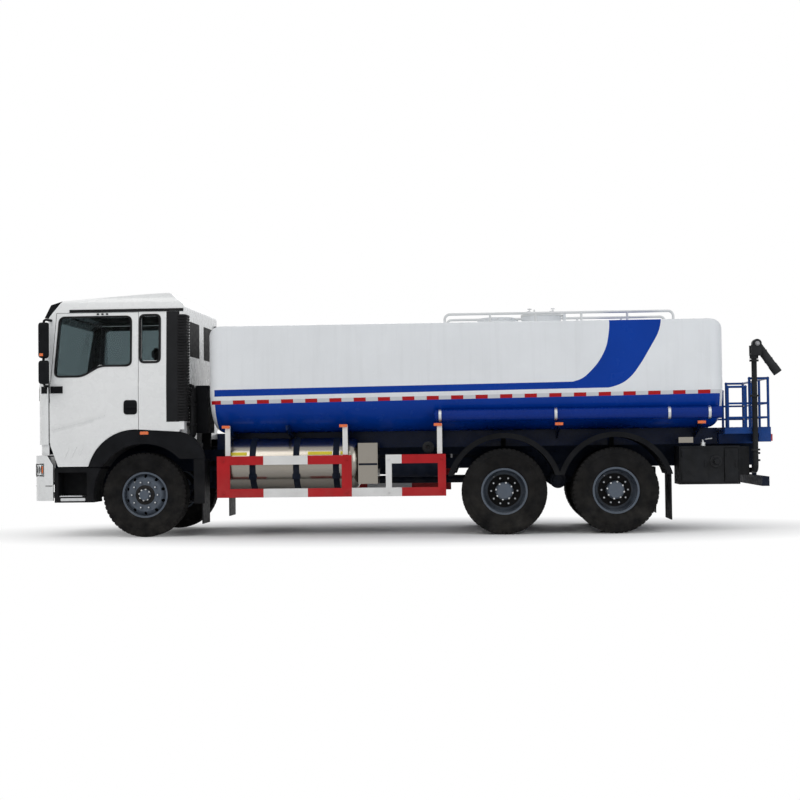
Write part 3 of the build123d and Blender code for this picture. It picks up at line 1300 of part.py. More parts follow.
RAIL_Y = DECK_HALF - 25.0
RAIL_START = DECK_FRONT - 45.0
RAIL_END = DECK_REAR + 25.0
LOW_RAIL_Z = 1830.0
BALL = RAIL_TUBE + 3.0
with BuildPart() as platform_rails:
    # front post, rear post, top of one side hoop
    for front, rear, top in (
        (RAIL_START, RAIL_START - 225, LOW_RAIL_Z),
        (RAIL_START - 275, RAIL_END, PLATFORM_RAIL_Z),
    ):
        for side in (1, -1):
            rod_x(side * RAIL_Y, top, RAIL_TUBE - 2, front, rear)
            for x in (front, rear):
                rod_z(x, side * RAIL_Y, RAIL_TUBE, DECK_TOP, top)
                with Locations((x, side * RAIL_Y, top)):
                    Sphere(BALL)
    for z in (1440.0, 1620.0):
        for side in (1, -1):
            rod_x(side * RAIL_Y, z, RAIL_TUBE - 4, RAIL_START, RAIL_END)
        rod_y(RAIL_END, z, RAIL_TUBE - 4, -RAIL_Y, RAIL_Y)
    rod_y(RAIL_END, PLATFORM_RAIL_Z, RAIL_TUBE - 2, -RAIL_Y, RAIL_Y)
    for side in (1, -1):
        rod_z(RAIL_END, side * RAIL_Y / 3, RAIL_TUBE, DECK_TOP, PLATFORM_RAIL_Z)
platform_rails.part.label = "platform_rails"
export_step(platform_rails.part, "parts/platform_rails.step")

with BuildPart() as rear_bar:
    box_between(FRAME_REAR - 40, FRAME_REAR + 50, -1120, 1120, 575, 695)
    for side in (1, -1):
        box_between(FRAME_REAR, FRAME_REAR + 50, side * 350, side * RAIL_HALF, 690, FRAME_BOTTOM)
rear_bar.part.label = "rear_bar"
export_step(rear_bar.part, "parts/rear_bar.step")

# Pump housing with its pipes, the gun's riser and the hose outlet
PUMP_X = AXLE_1 - 7280.0
PUMP_Z = 890.0
OUTLET_RADIUS = 33.0
RISER_TOP = GUN_PIVOT_Z - 190.0
SWIVEL_PLUG = 28.0
with BuildPart() as water_pump:
    box_between(PUMP_X - 300, PUMP_X + 460, RAIL_HALF, 985, 600, 1085)
    box_between(PUMP_X - 425, PUMP_X - 290, RAIL_HALF + 20, 930, 715, 1075)
    rod_y(PUMP_X, PUMP_Z, 48, 900, 1010)
    rod_y(PUMP_X, PUMP_Z, OUTLET_RADIUS, 1010, 1090)
    pipe(
        [
            (PUMP_X - 280, 800, 770), (GUN_X, 800, 770), (GUN_X, GUN_SIDE, 770), (GUN_X, GUN_SIDE, RISER_TOP),
        ],
        RISER_RADIUS, 80,
    )
    rod_z(GUN_X, GUN_SIDE, SWIVEL_PLUG, RISER_TOP - 10, RISER_TOP + 45)
    box_between(GUN_X - 30, GUN_X + 30, DECK_HALF, GUN_SIDE, DECK_BOTTOM + 15, DECK_TOP - 15)
    rod_y(FRAME_REAR + 150, 770, 30, -960, 800)
    for side in (1, -1):
        box_between(
            FRAME_REAR + 130, FRAME_REAR + 170, side * 360, side * 420, 770, FRAME_BOTTOM
        )
    for y in (-900, -500):
        box_between(FRAME_REAR - 30, FRAME_REAR + 150, y - 60, y + 60, 755, 785)
water_pump.part.label = "water_pump"
export_step(water_pump.part, "parts/water_pump.step")

# Lamps at the rear and along the sides
with BuildPart() as lamps:
    for side in (1, -1):
        box_between(DECK_REAR - 24, DECK_REAR, side * 700, side * 950, DECK_BOTTOM - 96, DECK_BOTTOM - 8)
        for station in GUARD_STATIONS:
            x = AXLE_1 + station
            box_between(x - 30, x + 70, side * (GUARD_IN + 5), side * (GUARD_IN + 28), 1380, 1415)
        for station in (-5300, -7080):
            x = AXLE_1 + station
            box_between(x - 50, x + 50, side * OUTRIGGER_END, side * (OUTRIGGER_END + 24), 1370, 1405)
lamps.part.label = "lamps"
export_step(lamps.part, "parts/lamps.step")

# Water gun: swivel on the riser, barrel in its fork
GUN_PIN = 15.0
FORK_GAP = 56.0
FORK_SHEET = 16.0
with BuildPart() as gun_swivel:
    rod_z(GUN_X, GUN_SIDE, 54, RISER_TOP + SEAT_GAP, RISER_TOP + 58)
    rod_z(
        GUN_X, GUN_SIDE, SWIVEL_PLUG + RUN_FIT, RISER_TOP - 10, RISER_TOP + 45 + SEAT_GAP,
        mode=Mode.SUBTRACT,
    )
    pivot_x = GUN_X - GUN_OFFSET
    for side in (1, -1):
        y0 = GUN_SIDE + side * (FORK_GAP + 5)
        y1 = y0 + side * FORK_SHEET
        box_between(pivot_x - 50, GUN_X + 46, y0, y1, RISER_TOP + 40, GUN_PIVOT_Z - 20)
        rod_y(pivot_x, GUN_PIVOT_Z, 50, y0, y1)
    box_between(
        pivot_x - 8, GUN_X + 46, GUN_SIDE - FORK_GAP - 8, GUN_SIDE + FORK_GAP + 8,
        RISER_TOP + 47, RISER_TOP + 62,
    )
    rod_y(pivot_x, GUN_PIVOT_Z, GUN_PIN, GUN_SIDE - FORK_GAP - 12, GUN_SIDE + FORK_GAP + 12)
gun_swivel.part.label = "gun_swivel"
export_step(gun_swivel.part, "parts/gun_swivel.step")

BARREL_TURN = Location((GUN_X - GUN_OFFSET, GUN_SIDE, GUN_PIVOT_Z), (0, -90 - GUN_DROP, 0))
with BuildPart() as gun_barrel:
    rod_y(GUN_X - GUN_OFFSET, GUN_PIVOT_Z, 58, GUN_SIDE - FORK_GAP, GUN_SIDE + FORK_GAP)
    with Locations(BARREL_TURN * Location((0, 0, (GUN_BARREL - 60) / 2))):
        Cylinder(53, GUN_BARREL - 60)
    with Locations(BARREL_TURN * Location((0, 0, GUN_BARREL - 60))):
        Cylinder(NOZZLE_RADIUS, 120)
    with Locations(BARREL_TURN * Location((0, 0, GUN_BARREL - 50))):
        Cylinder(42, 100.2, mode=Mode.SUBTRACT)
    rod_y(
        GUN_X - GUN_OFFSET, GUN_PIVOT_Z, GUN_PIN + RUN_FIT, GUN_SIDE - 200, GUN_SIDE + 200, mode=Mode.SUBTRACT
    )
gun_barrel.part.label = "gun_barrel"
export_step(gun_barrel.part, "parts/gun_barrel.step")
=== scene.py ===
"""Paint, tyres, glass, lamps and small fittings of a three-axle water tanker truck."""
import math

import bmesh
import bpy
from bpy.props import FloatProperty, FloatVectorProperty, IntProperty, PointerProperty
from mathutils import Matrix, Vector
from mathutils.bvhtree import BVHTree


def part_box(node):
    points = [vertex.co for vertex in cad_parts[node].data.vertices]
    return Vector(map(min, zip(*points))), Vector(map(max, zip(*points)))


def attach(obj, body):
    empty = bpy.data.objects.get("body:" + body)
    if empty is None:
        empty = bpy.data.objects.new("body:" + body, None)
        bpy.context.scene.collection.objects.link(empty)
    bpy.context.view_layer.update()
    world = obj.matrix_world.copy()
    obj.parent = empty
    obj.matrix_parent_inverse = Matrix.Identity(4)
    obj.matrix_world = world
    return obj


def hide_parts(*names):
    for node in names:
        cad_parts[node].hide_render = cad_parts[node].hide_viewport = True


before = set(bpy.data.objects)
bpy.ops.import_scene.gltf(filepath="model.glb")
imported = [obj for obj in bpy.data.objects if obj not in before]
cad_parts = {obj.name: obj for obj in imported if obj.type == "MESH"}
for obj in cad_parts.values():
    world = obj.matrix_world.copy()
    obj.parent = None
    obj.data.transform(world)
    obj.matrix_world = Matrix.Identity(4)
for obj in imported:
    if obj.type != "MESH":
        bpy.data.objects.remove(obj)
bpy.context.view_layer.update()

bl_info = {
    "name": "Water tanker truck",
    "version": (1, 0, 0),
    "blender": (4, 5, 0),
    "location": "3D View > Sidebar > Tanker",
    "description": "Dresses the packed water tanker truck and sets its stage",
    "category": "Object",
}


def node_middle(node):
    low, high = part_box(node)
    return (Vector(low) + Vector(high)) / 2


FRONT_AXLE = node_middle("tyre_front_left").x
REAR_AXLES = (node_middle("tyre_rear_1_left").x, node_middle("tyre_rear_2_left").x)
AXLE_HEIGHT = node_middle("tyre_front_left").z
TANK_LOW, TANK_HIGH = (Vector(v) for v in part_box("tank"))
DECK_LOW, DECK_HIGH = (Vector(v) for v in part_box("platform_deck"))
CAB_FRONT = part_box("cab_front")[1][0]
CAB_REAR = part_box("cab_rear_wall")[0][0]
BUMPER_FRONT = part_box("front_bumper")[1][0]
ROOF_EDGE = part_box("cab_roof")[0][2]
LEFT, RIGHT = 1, -1
SIDES = (LEFT, RIGHT)
HANDS = ((LEFT, "left"), (RIGHT, "right"))
UP = Vector((0, 0, 1))


def at(station):
    """Place along the truck of a station given in millimetres ahead of the front axle."""
    return FRONT_AXLE + station / 1000


def paint_colour(name, description, default):
    return FloatVectorProperty(name=name, description=description, subtype="COLOR", default=default)


def metres(name, description, default):
    return FloatProperty(name=name, description=description, default=default, unit="LENGTH")


class TankerColours(bpy.types.PropertyGroup):
    cab_white: paint_colour("Cab white", "Cab and bumper paint", (0.80, 0.81, 0.81))
    tank_white: paint_colour("Tank white", "Upper tank paint", (0.78, 0.80, 0.82))
    tank_blue: paint_colour("Tank blue", "Lower tank paint, band and swoosh", (0.001, 0.040, 0.31))
    # Same blue paint as the tank, made darker: painted shade below the tank
    shaded_tube_blue: paint_colour("Tube blue", "Hose tubes", (0.001, 0.023, 0.20))
    deck_blue: paint_colour("Platform blue", "Rear platform and rails", (0.004, 0.045, 0.21))
    guard_red: paint_colour("Guard red", "Red of the side guards", (0.42, 0.010, 0.014))
    chassis: paint_colour("Chassis black", "Frame and axles", (0.004, 0.008, 0.019))
    rim: paint_colour("Rim steel", "Wheel rims", (0.095, 0.115, 0.145))
    rubber: paint_colour("Rubber", "Tyres and flaps", (0.007, 0.007, 0.0075))
    plastic: paint_colour("Black plastic", "Trims, mudguards and steps", (0.006, 0.0065, 0.008))
    dust: paint_colour("Dust", "Road dust on the low parts", (0.22, 0.20, 0.17))


class TankerSizes(bpy.types.PropertyGroup):
    tread_depth: metres("Tread depth", "Depth of the tyre grooves", 0.013)
    tread_pitches: IntProperty(
        name="Tread pitches", description="Tread blocks around one tyre", default=54, min=20, max=90)
    band_low: metres("Band low", "Lower edge of the tank's blue band", 1.788)
    band_high: metres("Band high", "Upper edge of the tank's blue band", 1.873)
    strip_low: metres("Strip low", "Lower edge of the reflective strip", 1.687)
    strip_high: metres("Strip high", "Upper edge of the reflective strip", 1.735)
    strip_step: metres("Strip step", "Length of one strip colour", 0.155)
    stripe_rise: FloatProperty(
        name="Stripe rise", description="Rise of the stripes for each metre towards the rear", default=0.0094)
    bolt: metres("Bolt", "Across the flats of a frame bolt", 0.024)


class TankerStage(bpy.types.PropertyGroup):
    camera_place: FloatVectorProperty(
        name="Camera place", description="Where the camera stands", subtype="TRANSLATION",
        default=(FRONT_AXLE - 4.430, 20.5, 1.20))
    camera_turn: FloatProperty(
        name="Turn", description="Turn away from square on", subtype="ANGLE", default=0.0588)
    camera_tilt: FloatProperty(
        name="Tilt", description="Tilt above the horizon", subtype="ANGLE", default=0.0266)
    camera_roll: FloatProperty(
        name="Roll", description="Roll about the view", subtype="ANGLE", default=-0.0121)
    lens: FloatProperty(name="Lens", description="Focal length", default=68.59, unit="CAMERA")
    sky: FloatProperty(name="Sky", description="Strength of the all-round light", default=0.42)
    key: FloatProperty(name="Key", description="Power of the large key lamp", default=750.0, unit="POWER")


# Node materials

class Finish:
    """One node material on object coordinates, with short calls for its nodes."""

    def __init__(self, name):
        self.material = bpy.data.materials.new(name)
        self.material.use_nodes = True
        tree = self.material.node_tree
        self.nodes, self.links = tree.nodes, tree.links
        self.shader = self.nodes["Principled BSDF"]
        self.coords = self.nodes.new("ShaderNodeTexCoord").outputs["Object"]
        parts = self.nodes.new("ShaderNodeSeparateXYZ")
        self.links.new(self.coords, parts.inputs[0])
        self.x, self.y, self.z = parts.outputs

    def feed(self, value, socket):
        if isinstance(value, bpy.types.NodeSocket):
            self.links.new(value, socket)
        elif socket.type == "RGBA":
            socket.default_value = (*value[:3], 1.0)
        else:
            socket.default_value = value

    def calc(self, operation, a, b=0.0):
        node = self.nodes.new("ShaderNodeMath")
        node.operation = operation
        self.feed(a, node.inputs[0])
        self.feed(b, node.inputs[1])
        return node.outputs[0]

    def between(self, value, low, high):
        above, below = self.calc("GREATER_THAN", value, low), self.calc("LESS_THAN", value, high)
        return self.calc("MULTIPLY", above, below)

    def either(self, a, b):
        return self.calc("MAXIMUM", a, b)

    def noise(self, scale, detail=4.0, stretch=None):
        node = self.nodes.new("ShaderNodeTexNoise")
        node.inputs["Scale"].default_value = scale
        node.inputs["Detail"].default_value = detail
        source = self.coords
        if stretch:
            mapping = self.nodes.new("ShaderNodeMapping")
            mapping.inputs["Scale"].default_value = stretch
            self.links.new(self.coords, mapping.inputs["Vector"])
            source = mapping.outputs[0]
        self.links.new(source, node.inputs["Vector"])
        return node.outputs["Fac"]

    def ramp(self, value, low, high, to_low=0.0, to_high=1.0):
        node = self.nodes.new("ShaderNodeMapRange")
        for socket, number in zip(node.inputs[1:5], (low, high, to_low, to_high)):
            socket.default_value = number
        self.feed(value, node.inputs[0])
        return node.outputs[0]

    def mix(self, factor, a, b):
        node = self.nodes.new("ShaderNodeMix")
        node.data_type = "RGBA"
        self.feed(factor, node.inputs[0])
        self.feed(a, node.inputs[6])
        self.feed(b, node.inputs[7])
        return node.outputs[2]

    def tones(self, colour, spread, scale, stretch=None):
        """Two close tones of a colour, mixed by cloudy noise."""
        darker = [c * (1 - spread) for c in colour]
        lighter = [min(1.0, c * (1 + spread) + 0.01 * spread) for c in colour]
        return self.mix(self.ramp(self.noise(scale, 5.0, stretch), 0.3, 0.7), darker, lighter)

    def dusty(self, colour, dust, amount, top=1.25):
        """Dust that fades out towards a height."""
        height = self.ramp(self.z, 0.05, top, 1.0, 0.0)
        patchy = self.ramp(self.noise(7.0, 6.0), 0.32, 0.75)
        return self.mix(self.calc("MULTIPLY", self.calc("MULTIPLY", height, patchy), amount), colour, dust)

    def rough(self, low, high, scale=18.0, stretch=None):
        cloudy = self.ramp(self.noise(scale, 3.0, stretch), 0.3, 0.7, low, high)
        self.feed(cloudy, self.shader.inputs["Roughness"])

    def bump(self, height, strength, distance):
        node = self.nodes.new("ShaderNodeBump")
        node.inputs["Strength"].default_value = strength
        node.inputs["Distance"].default_value = distance
        self.feed(height, node.inputs["Height"])
        self.feed(node.outputs[0], self.shader.inputs["Normal"])

    def done(self, colour, **values):
        self.feed(colour, self.shader.inputs["Base Color"])
        for name, value in values.items():
            self.shader.inputs[name.replace("_", " ").title().replace("Ior", "IOR")].default_value = value
        return self.material


def glossy_paint(name, colour, spread=0.03, dust=None, amount=0.0, top=1.4):
    finish = Finish(name)
    base = finish.tones(colour, spread, 2.2)
    if dust is not None:
        base = finish.dusty(base, dust, amount, top)
    finish.rough(0.22, 0.34, 9.0)
    return finish.done(base, coat_weight=0.03, coat_roughness=0.12, specular_ior_level=0.12)


def dull_black(name, colour, dust, amount, low=0.5, high=0.75, grain=0.0):
    finish = Finish(name)
    base = finish.dusty(finish.tones(colour, 0.25, 5.0), dust, amount)
    finish.rough(low, high)
    if grain:
        finish.bump(finish.noise(260.0, 2.0), 0.25, grain)
    return finish.done(base, specular_ior_level=0.07)


def bare_metal(name, colour, low, high, brushed=None):
    finish = Finish(name)
    base = finish.tones(colour, 0.08, 14.0, brushed)
    finish.rough(low, high, 30.0, brushed)
    return finish.done(base, metallic=1.0)


def clear_glass(name, tint, rear_shade_tint=None):
    """Tinted glass, with another, near black tint in the cab's rear wall where one is given: painted shade of
    the cab's inside seen through those windows.
    """
    finish = Finish(name)
    base = finish.tones(tint, 0.05, 1.5)
    if rear_shade_tint is not None:
        base = finish.mix(finish.calc("LESS_THAN", finish.x, CAB_REAR + 0.15), base, rear_shade_tint)
    finish.rough(0.0, 0.03, 3.0)
    return finish.done(base, transmission_weight=1.0, ior=1.12)


def lens_glass(name, colour):
    finish = Finish(name)
    base = finish.tones(colour, 0.18, 60.0)
    finish.rough(0.08, 0.16, 40.0)
    finish.bump(finish.calc("SINE", finish.calc("MULTIPLY", finish.z, 900.0)), 0.25, 0.001)
    return finish.done(base, coat_weight=0.6)


def woven_cloth(name, colour):
    finish = Finish(name)
    weave = finish.calc(
        "MULTIPLY", finish.calc("SINE", finish.calc("MULTIPLY", finish.y, 1400.0)),
        finish.calc("SINE", finish.calc("MULTIPLY", finish.z, 1400.0)))
    finish.bump(weave, 0.3, 0.002)
    finish.rough(0.8, 0.95)
    return finish.done(finish.tones(colour, 0.2, 9.0), sheen_weight=0.2)


def cab_finish(colours):
    """White outside and dark lining on the faces that look into the cab."""
    finish = Finish("cab_enamel")
    middle = (CAB_FRONT + CAB_REAR) / 2, 0.0, (ROOF_EDGE + 1.2) / 2
    away = finish.nodes.new("ShaderNodeVectorMath")
    away.operation = "SUBTRACT"
    finish.links.new(finish.coords, away.inputs[0])
    away.inputs[1].default_value = middle
    facing = finish.nodes.new("ShaderNodeVectorMath")
    facing.operation = "DOT_PRODUCT"
    finish.links.new(away.outputs[0], facing.inputs[0])
    finish.links.new(finish.coords.node.outputs["Normal"], facing.inputs[1])
    inward = finish.calc("LESS_THAN", facing.outputs["Value"], 0.0)
    base = finish.dusty(finish.tones(colours.cab_white, 0.02, 2.2), colours.dust, 0.10, 1.2)
    base = finish.mix(inward, base, finish.tones((0.030, 0.031, 0.033), 0.1, 9.0))
    finish.rough(0.22, 0.34, 9.0)
    return finish.done(base, coat_weight=0.3, coat_roughness=0.12)


CORNER_FOOT = 1.475         # height up to which the cab's corners are white


def corner_finish(colours):
    """Black plastic corner with a white foot."""
    finish = Finish("corner_plastic")
    foot = finish.calc("LESS_THAN", finish.z, CORNER_FOOT)
    plastic, white = finish.tones(colours.plastic, 0.2, 6.0), finish.tones(colours.cab_white, 0.02, 2.2)
    base = finish.mix(foot, plastic, white)
    finish.rough(0.35, 0.5)
    return finish.done(base, specular_ior_level=0.15)


# Heights that the swoosh's edges span, then rear end and length of the stretch that they lie in
SWOOSH_LOW, SWOOSH_HIGH = 1.75, 2.80
SWOOSH_REAR, SWOOSH_LENGTH = -6.8, 1.8
# Edges of the swoosh: height, place ahead of the front axle
SWOOSH_FRONT_EDGE = ((1.75, -5.05), (1.873, -5.48), (1.91, -5.59), (1.97, -5.672), (2.193, -5.852),
                     (2.451, -5.934), (2.80, -5.93))
SWOOSH_REAR_EDGE = ((1.75, -5.62), (1.788, -5.93), (1.843, -6.10), (1.93, -6.215), (2.05, -6.31),
                    (2.30, -6.465), (2.40, -6.523), (2.468, -6.556), (2.55, -6.581), (2.65, -6.594),
                    (2.80, -6.60))


def swoosh_edge(finish, height, points):
    """Place of a swoosh edge along the truck, by height."""
    node = finish.nodes.new("ShaderNodeFloatCurve")
    curve = node.mapping.curves[0]
    span = SWOOSH_HIGH - SWOOSH_LOW
    scaled = [((high - SWOOSH_LOW) / span, (ahead - SWOOSH_REAR) / SWOOSH_LENGTH) for high, ahead in points]
    curve.points[0].location, curve.points[1].location = scaled[0], scaled[-1]
    for place in scaled[1:-1]:
        curve.points.new(*place)
    node.mapping.update()
    finish.feed(finish.ramp(height, SWOOSH_LOW, SWOOSH_HIGH), node.inputs["Value"])
    return finish.calc("ADD", finish.calc("MULTIPLY", node.outputs[0], SWOOSH_LENGTH), SWOOSH_REAR)


def tank_finish(colours, sizes):
    """White tank with blue lower half, band, reflective strip and swoosh."""
    finish = Finish("tank_enamel")
    ahead = finish.calc("SUBTRACT", finish.x, FRONT_AXLE)
    from_end = finish.calc("SUBTRACT", ahead, TANK_HIGH.x - FRONT_AXLE)
    z = finish.calc("ADD", finish.z, finish.calc("MULTIPLY", from_end, sizes.stripe_rise))
    before = finish.calc("LESS_THAN", ahead, swoosh_edge(finish, z, SWOOSH_FRONT_EDGE))
    behind = finish.calc("GREATER_THAN", ahead, swoosh_edge(finish, z, SWOOSH_REAR_EDGE))
    low_or_swept = finish.either(finish.calc("LESS_THAN", z, sizes.band_high), before)
    sweep = finish.calc("MULTIPLY", low_or_swept, behind)
    sweep = finish.calc("MULTIPLY", sweep, finish.calc("GREATER_THAN", z, sizes.band_low))
    blue = finish.either(finish.calc("LESS_THAN", z, (sizes.strip_low + sizes.strip_high) / 2), sweep)
    blue = finish.calc("MULTIPLY", blue, finish.between(finish.x, TANK_LOW.x + 0.045, TANK_HIGH.x - 0.08))
    strip = finish.calc("MULTIPLY", finish.between(z, sizes.strip_low, sizes.strip_high),
                        finish.between(finish.x, TANK_LOW.x + 0.03, TANK_HIGH.x - 0.03))
    pairs = finish.calc("DIVIDE", finish.calc("ADD", finish.x, 20.0), 2 * sizes.strip_step)
    red = finish.calc("LESS_THAN", finish.calc("FRACT", pairs), 0.5)
    white_tone = finish.tones(colours.tank_white, 0.025, 1.6)
    streaks = finish.ramp(finish.noise(3.0, 4.0, (6.0, 6.0, 0.35)), 0.5, 0.8, 0.0, 0.10)
    white_tone = finish.mix(streaks, white_tone, (0.45, 0.46, 0.46))
    base = finish.mix(blue, white_tone, finish.tones(colours.tank_blue, 0.06, 2.0))
    base = finish.mix(strip, base, finish.mix(red, (0.62, 0.63, 0.65), colours.guard_red))
    finish.rough(0.2, 0.3, 6.0)
    return finish.done(base, coat_weight=0.03, coat_roughness=0.1, specular_ior_level=0.10)


GUARD_WHITES = ((-2.111, -1.545), (-3.307, -2.672))     # white lengths, ahead of the front axle
HANGER_FOOT = 1.03          # height from which the guards' hangers are white


def guard_finish(colours):
    """Red side guards with white lengths and white hangers."""
    finish = Finish("guard_enamel")
    ahead = finish.calc("SUBTRACT", finish.x, FRONT_AXLE)
    white = finish.calc("GREATER_THAN", finish.z, HANGER_FOOT)
    for rear, front in GUARD_WHITES:
        white = finish.either(white, finish.between(ahead, rear, front))
    red, pale = finish.tones(colours.guard_red, 0.10, 4.0), finish.tones((0.74, 0.74, 0.73), 0.04, 4.0)
    base = finish.mix(white, red, pale)
    base = finish.dusty(base, colours.dust, 0.25, 0.9)
    finish.rough(0.3, 0.45)
    return finish.done(base, specular_ior_level=0.2)


def lamp_finish():
    """Amber side markers and red rear lamps on one node."""
    finish = Finish("marker_lens")
    rear = finish.calc("LESS_THAN", finish.x, DECK_LOW.x)
    amber, red = finish.tones((0.78, 0.13, 0.01), 0.1, 70.0), finish.tones((0.50, 0.01, 0.01), 0.1, 70.0)
    base = finish.mix(rear, amber, red)
    finish.rough(0.1, 0.18, 50.0)
    finish.bump(finish.calc("SINE", finish.calc("MULTIPLY", finish.x, 700.0)), 0.2, 0.001)
    return finish.done(base, coat_weight=0.5)


FINISHES = {}


def make_finishes(colours, sizes):
    dust = colours.dust
    FINISHES.update({
        "cab_white": cab_finish(colours),
        "corner": corner_finish(colours),
        "tank": tank_finish(colours, sizes),
        # Hose tubes darker than the tank's blue: painted shade below the tank
        "shaded_tube_blue": glossy_paint("hose_tube_enamel", colours.shaded_tube_blue, 0.06),
        "deck_blue": glossy_paint("platform_enamel", colours.deck_blue, 0.10, dust, 0.25, 1.6),
        "white": glossy_paint("white_enamel", (0.74, 0.75, 0.75), 0.03, dust, 0.10),
        "guard": guard_finish(colours),
        "marker": lamp_finish(),
        "chassis": dull_black("chassis_black", colours.chassis, dust, 0.12),
        "subframe": glossy_paint("subframe_navy", (0.003, 0.013, 0.055), 0.10),
        "axle": dull_black("axle_black", colours.chassis, dust, 0.25),
        # Near black pump and housing: partly their own dark paint, partly painted shade under the platform
        "pump": dull_black("pump_housing_painted_shade", (0.014, 0.015, 0.017), dust, 0.08, 0.4, 0.6),
        "plastic": dull_black("grained_plastic", colours.plastic, dust, 0.05, 0.45, 0.62, 0.0006),
        "inside": dull_black("cab_lining", (0.040, 0.041, 0.044), dust, 0.0, 0.7, 0.85, 0.0004),
        "headliner": dull_black("headliner", (0.060, 0.060, 0.060), dust, 0.0, 0.85, 0.95, 0.0005),
        "rubber": dull_black("tyre_rubber", colours.rubber, dust, 0.12, 0.72, 0.9, 0.0004),
        "seal": dull_black("seal_rubber", (0.014, 0.014, 0.015), dust, 0.1, 0.5, 0.7),
        "rim": glossy_paint("rim_enamel", colours.rim, 0.10, dust, 0.15, 1.1),
        # Steel darkened and warmed: painted shade and a painted reflection of the warm ground
        "stainless": bare_metal("brushed_stainless_painted_reflection", (0.27, 0.25, 0.22), 0.16, 0.28, (1.0, 40.0, 40.0)),
        "zinc": bare_metal("zinc_plate", (0.55, 0.56, 0.57), 0.3, 0.5),
        "steel": bare_metal("dark_steel", (0.25, 0.25, 0.26), 0.35, 0.55),
        "mirror": bare_metal("mirror_glass", (0.85, 0.86, 0.87), 0.02, 0.05),
        "cast": dull_black("cast_grey", (0.022, 0.023, 0.025), dust, 0.08, 0.4, 0.6),
        # Near black tint of the rear wall's windows: painted shade
        "glass": clear_glass("cab_window_glass", (0.26, 0.31, 0.32), (0.02, 0.03, 0.028)),
        "lamp": clear_glass("headlamp_glass", (0.93, 0.95, 0.96)),
        "amber": lens_glass("amber_lens", (0.78, 0.14, 0.01)),
        "red": lens_glass("red_lens", (0.55, 0.012, 0.012)),
        "clear": lens_glass("clear_lens", (0.75, 0.77, 0.78)),
        "yellow": glossy_paint("yellow_reflector", (0.72, 0.60, 0.03), 0.05),
        "cloth": woven_cloth("seat_cloth", (0.045, 0.047, 0.052)),
    })


# Shapes

# Faces of a block: its four lower corners in turn, then the four above them
BOX_FACES = ((3, 2, 1, 0), (4, 5, 6, 7), (0, 1, 5, 4), (1, 2, 6, 5), (2, 3, 7, 6), (3, 0, 4, 7))


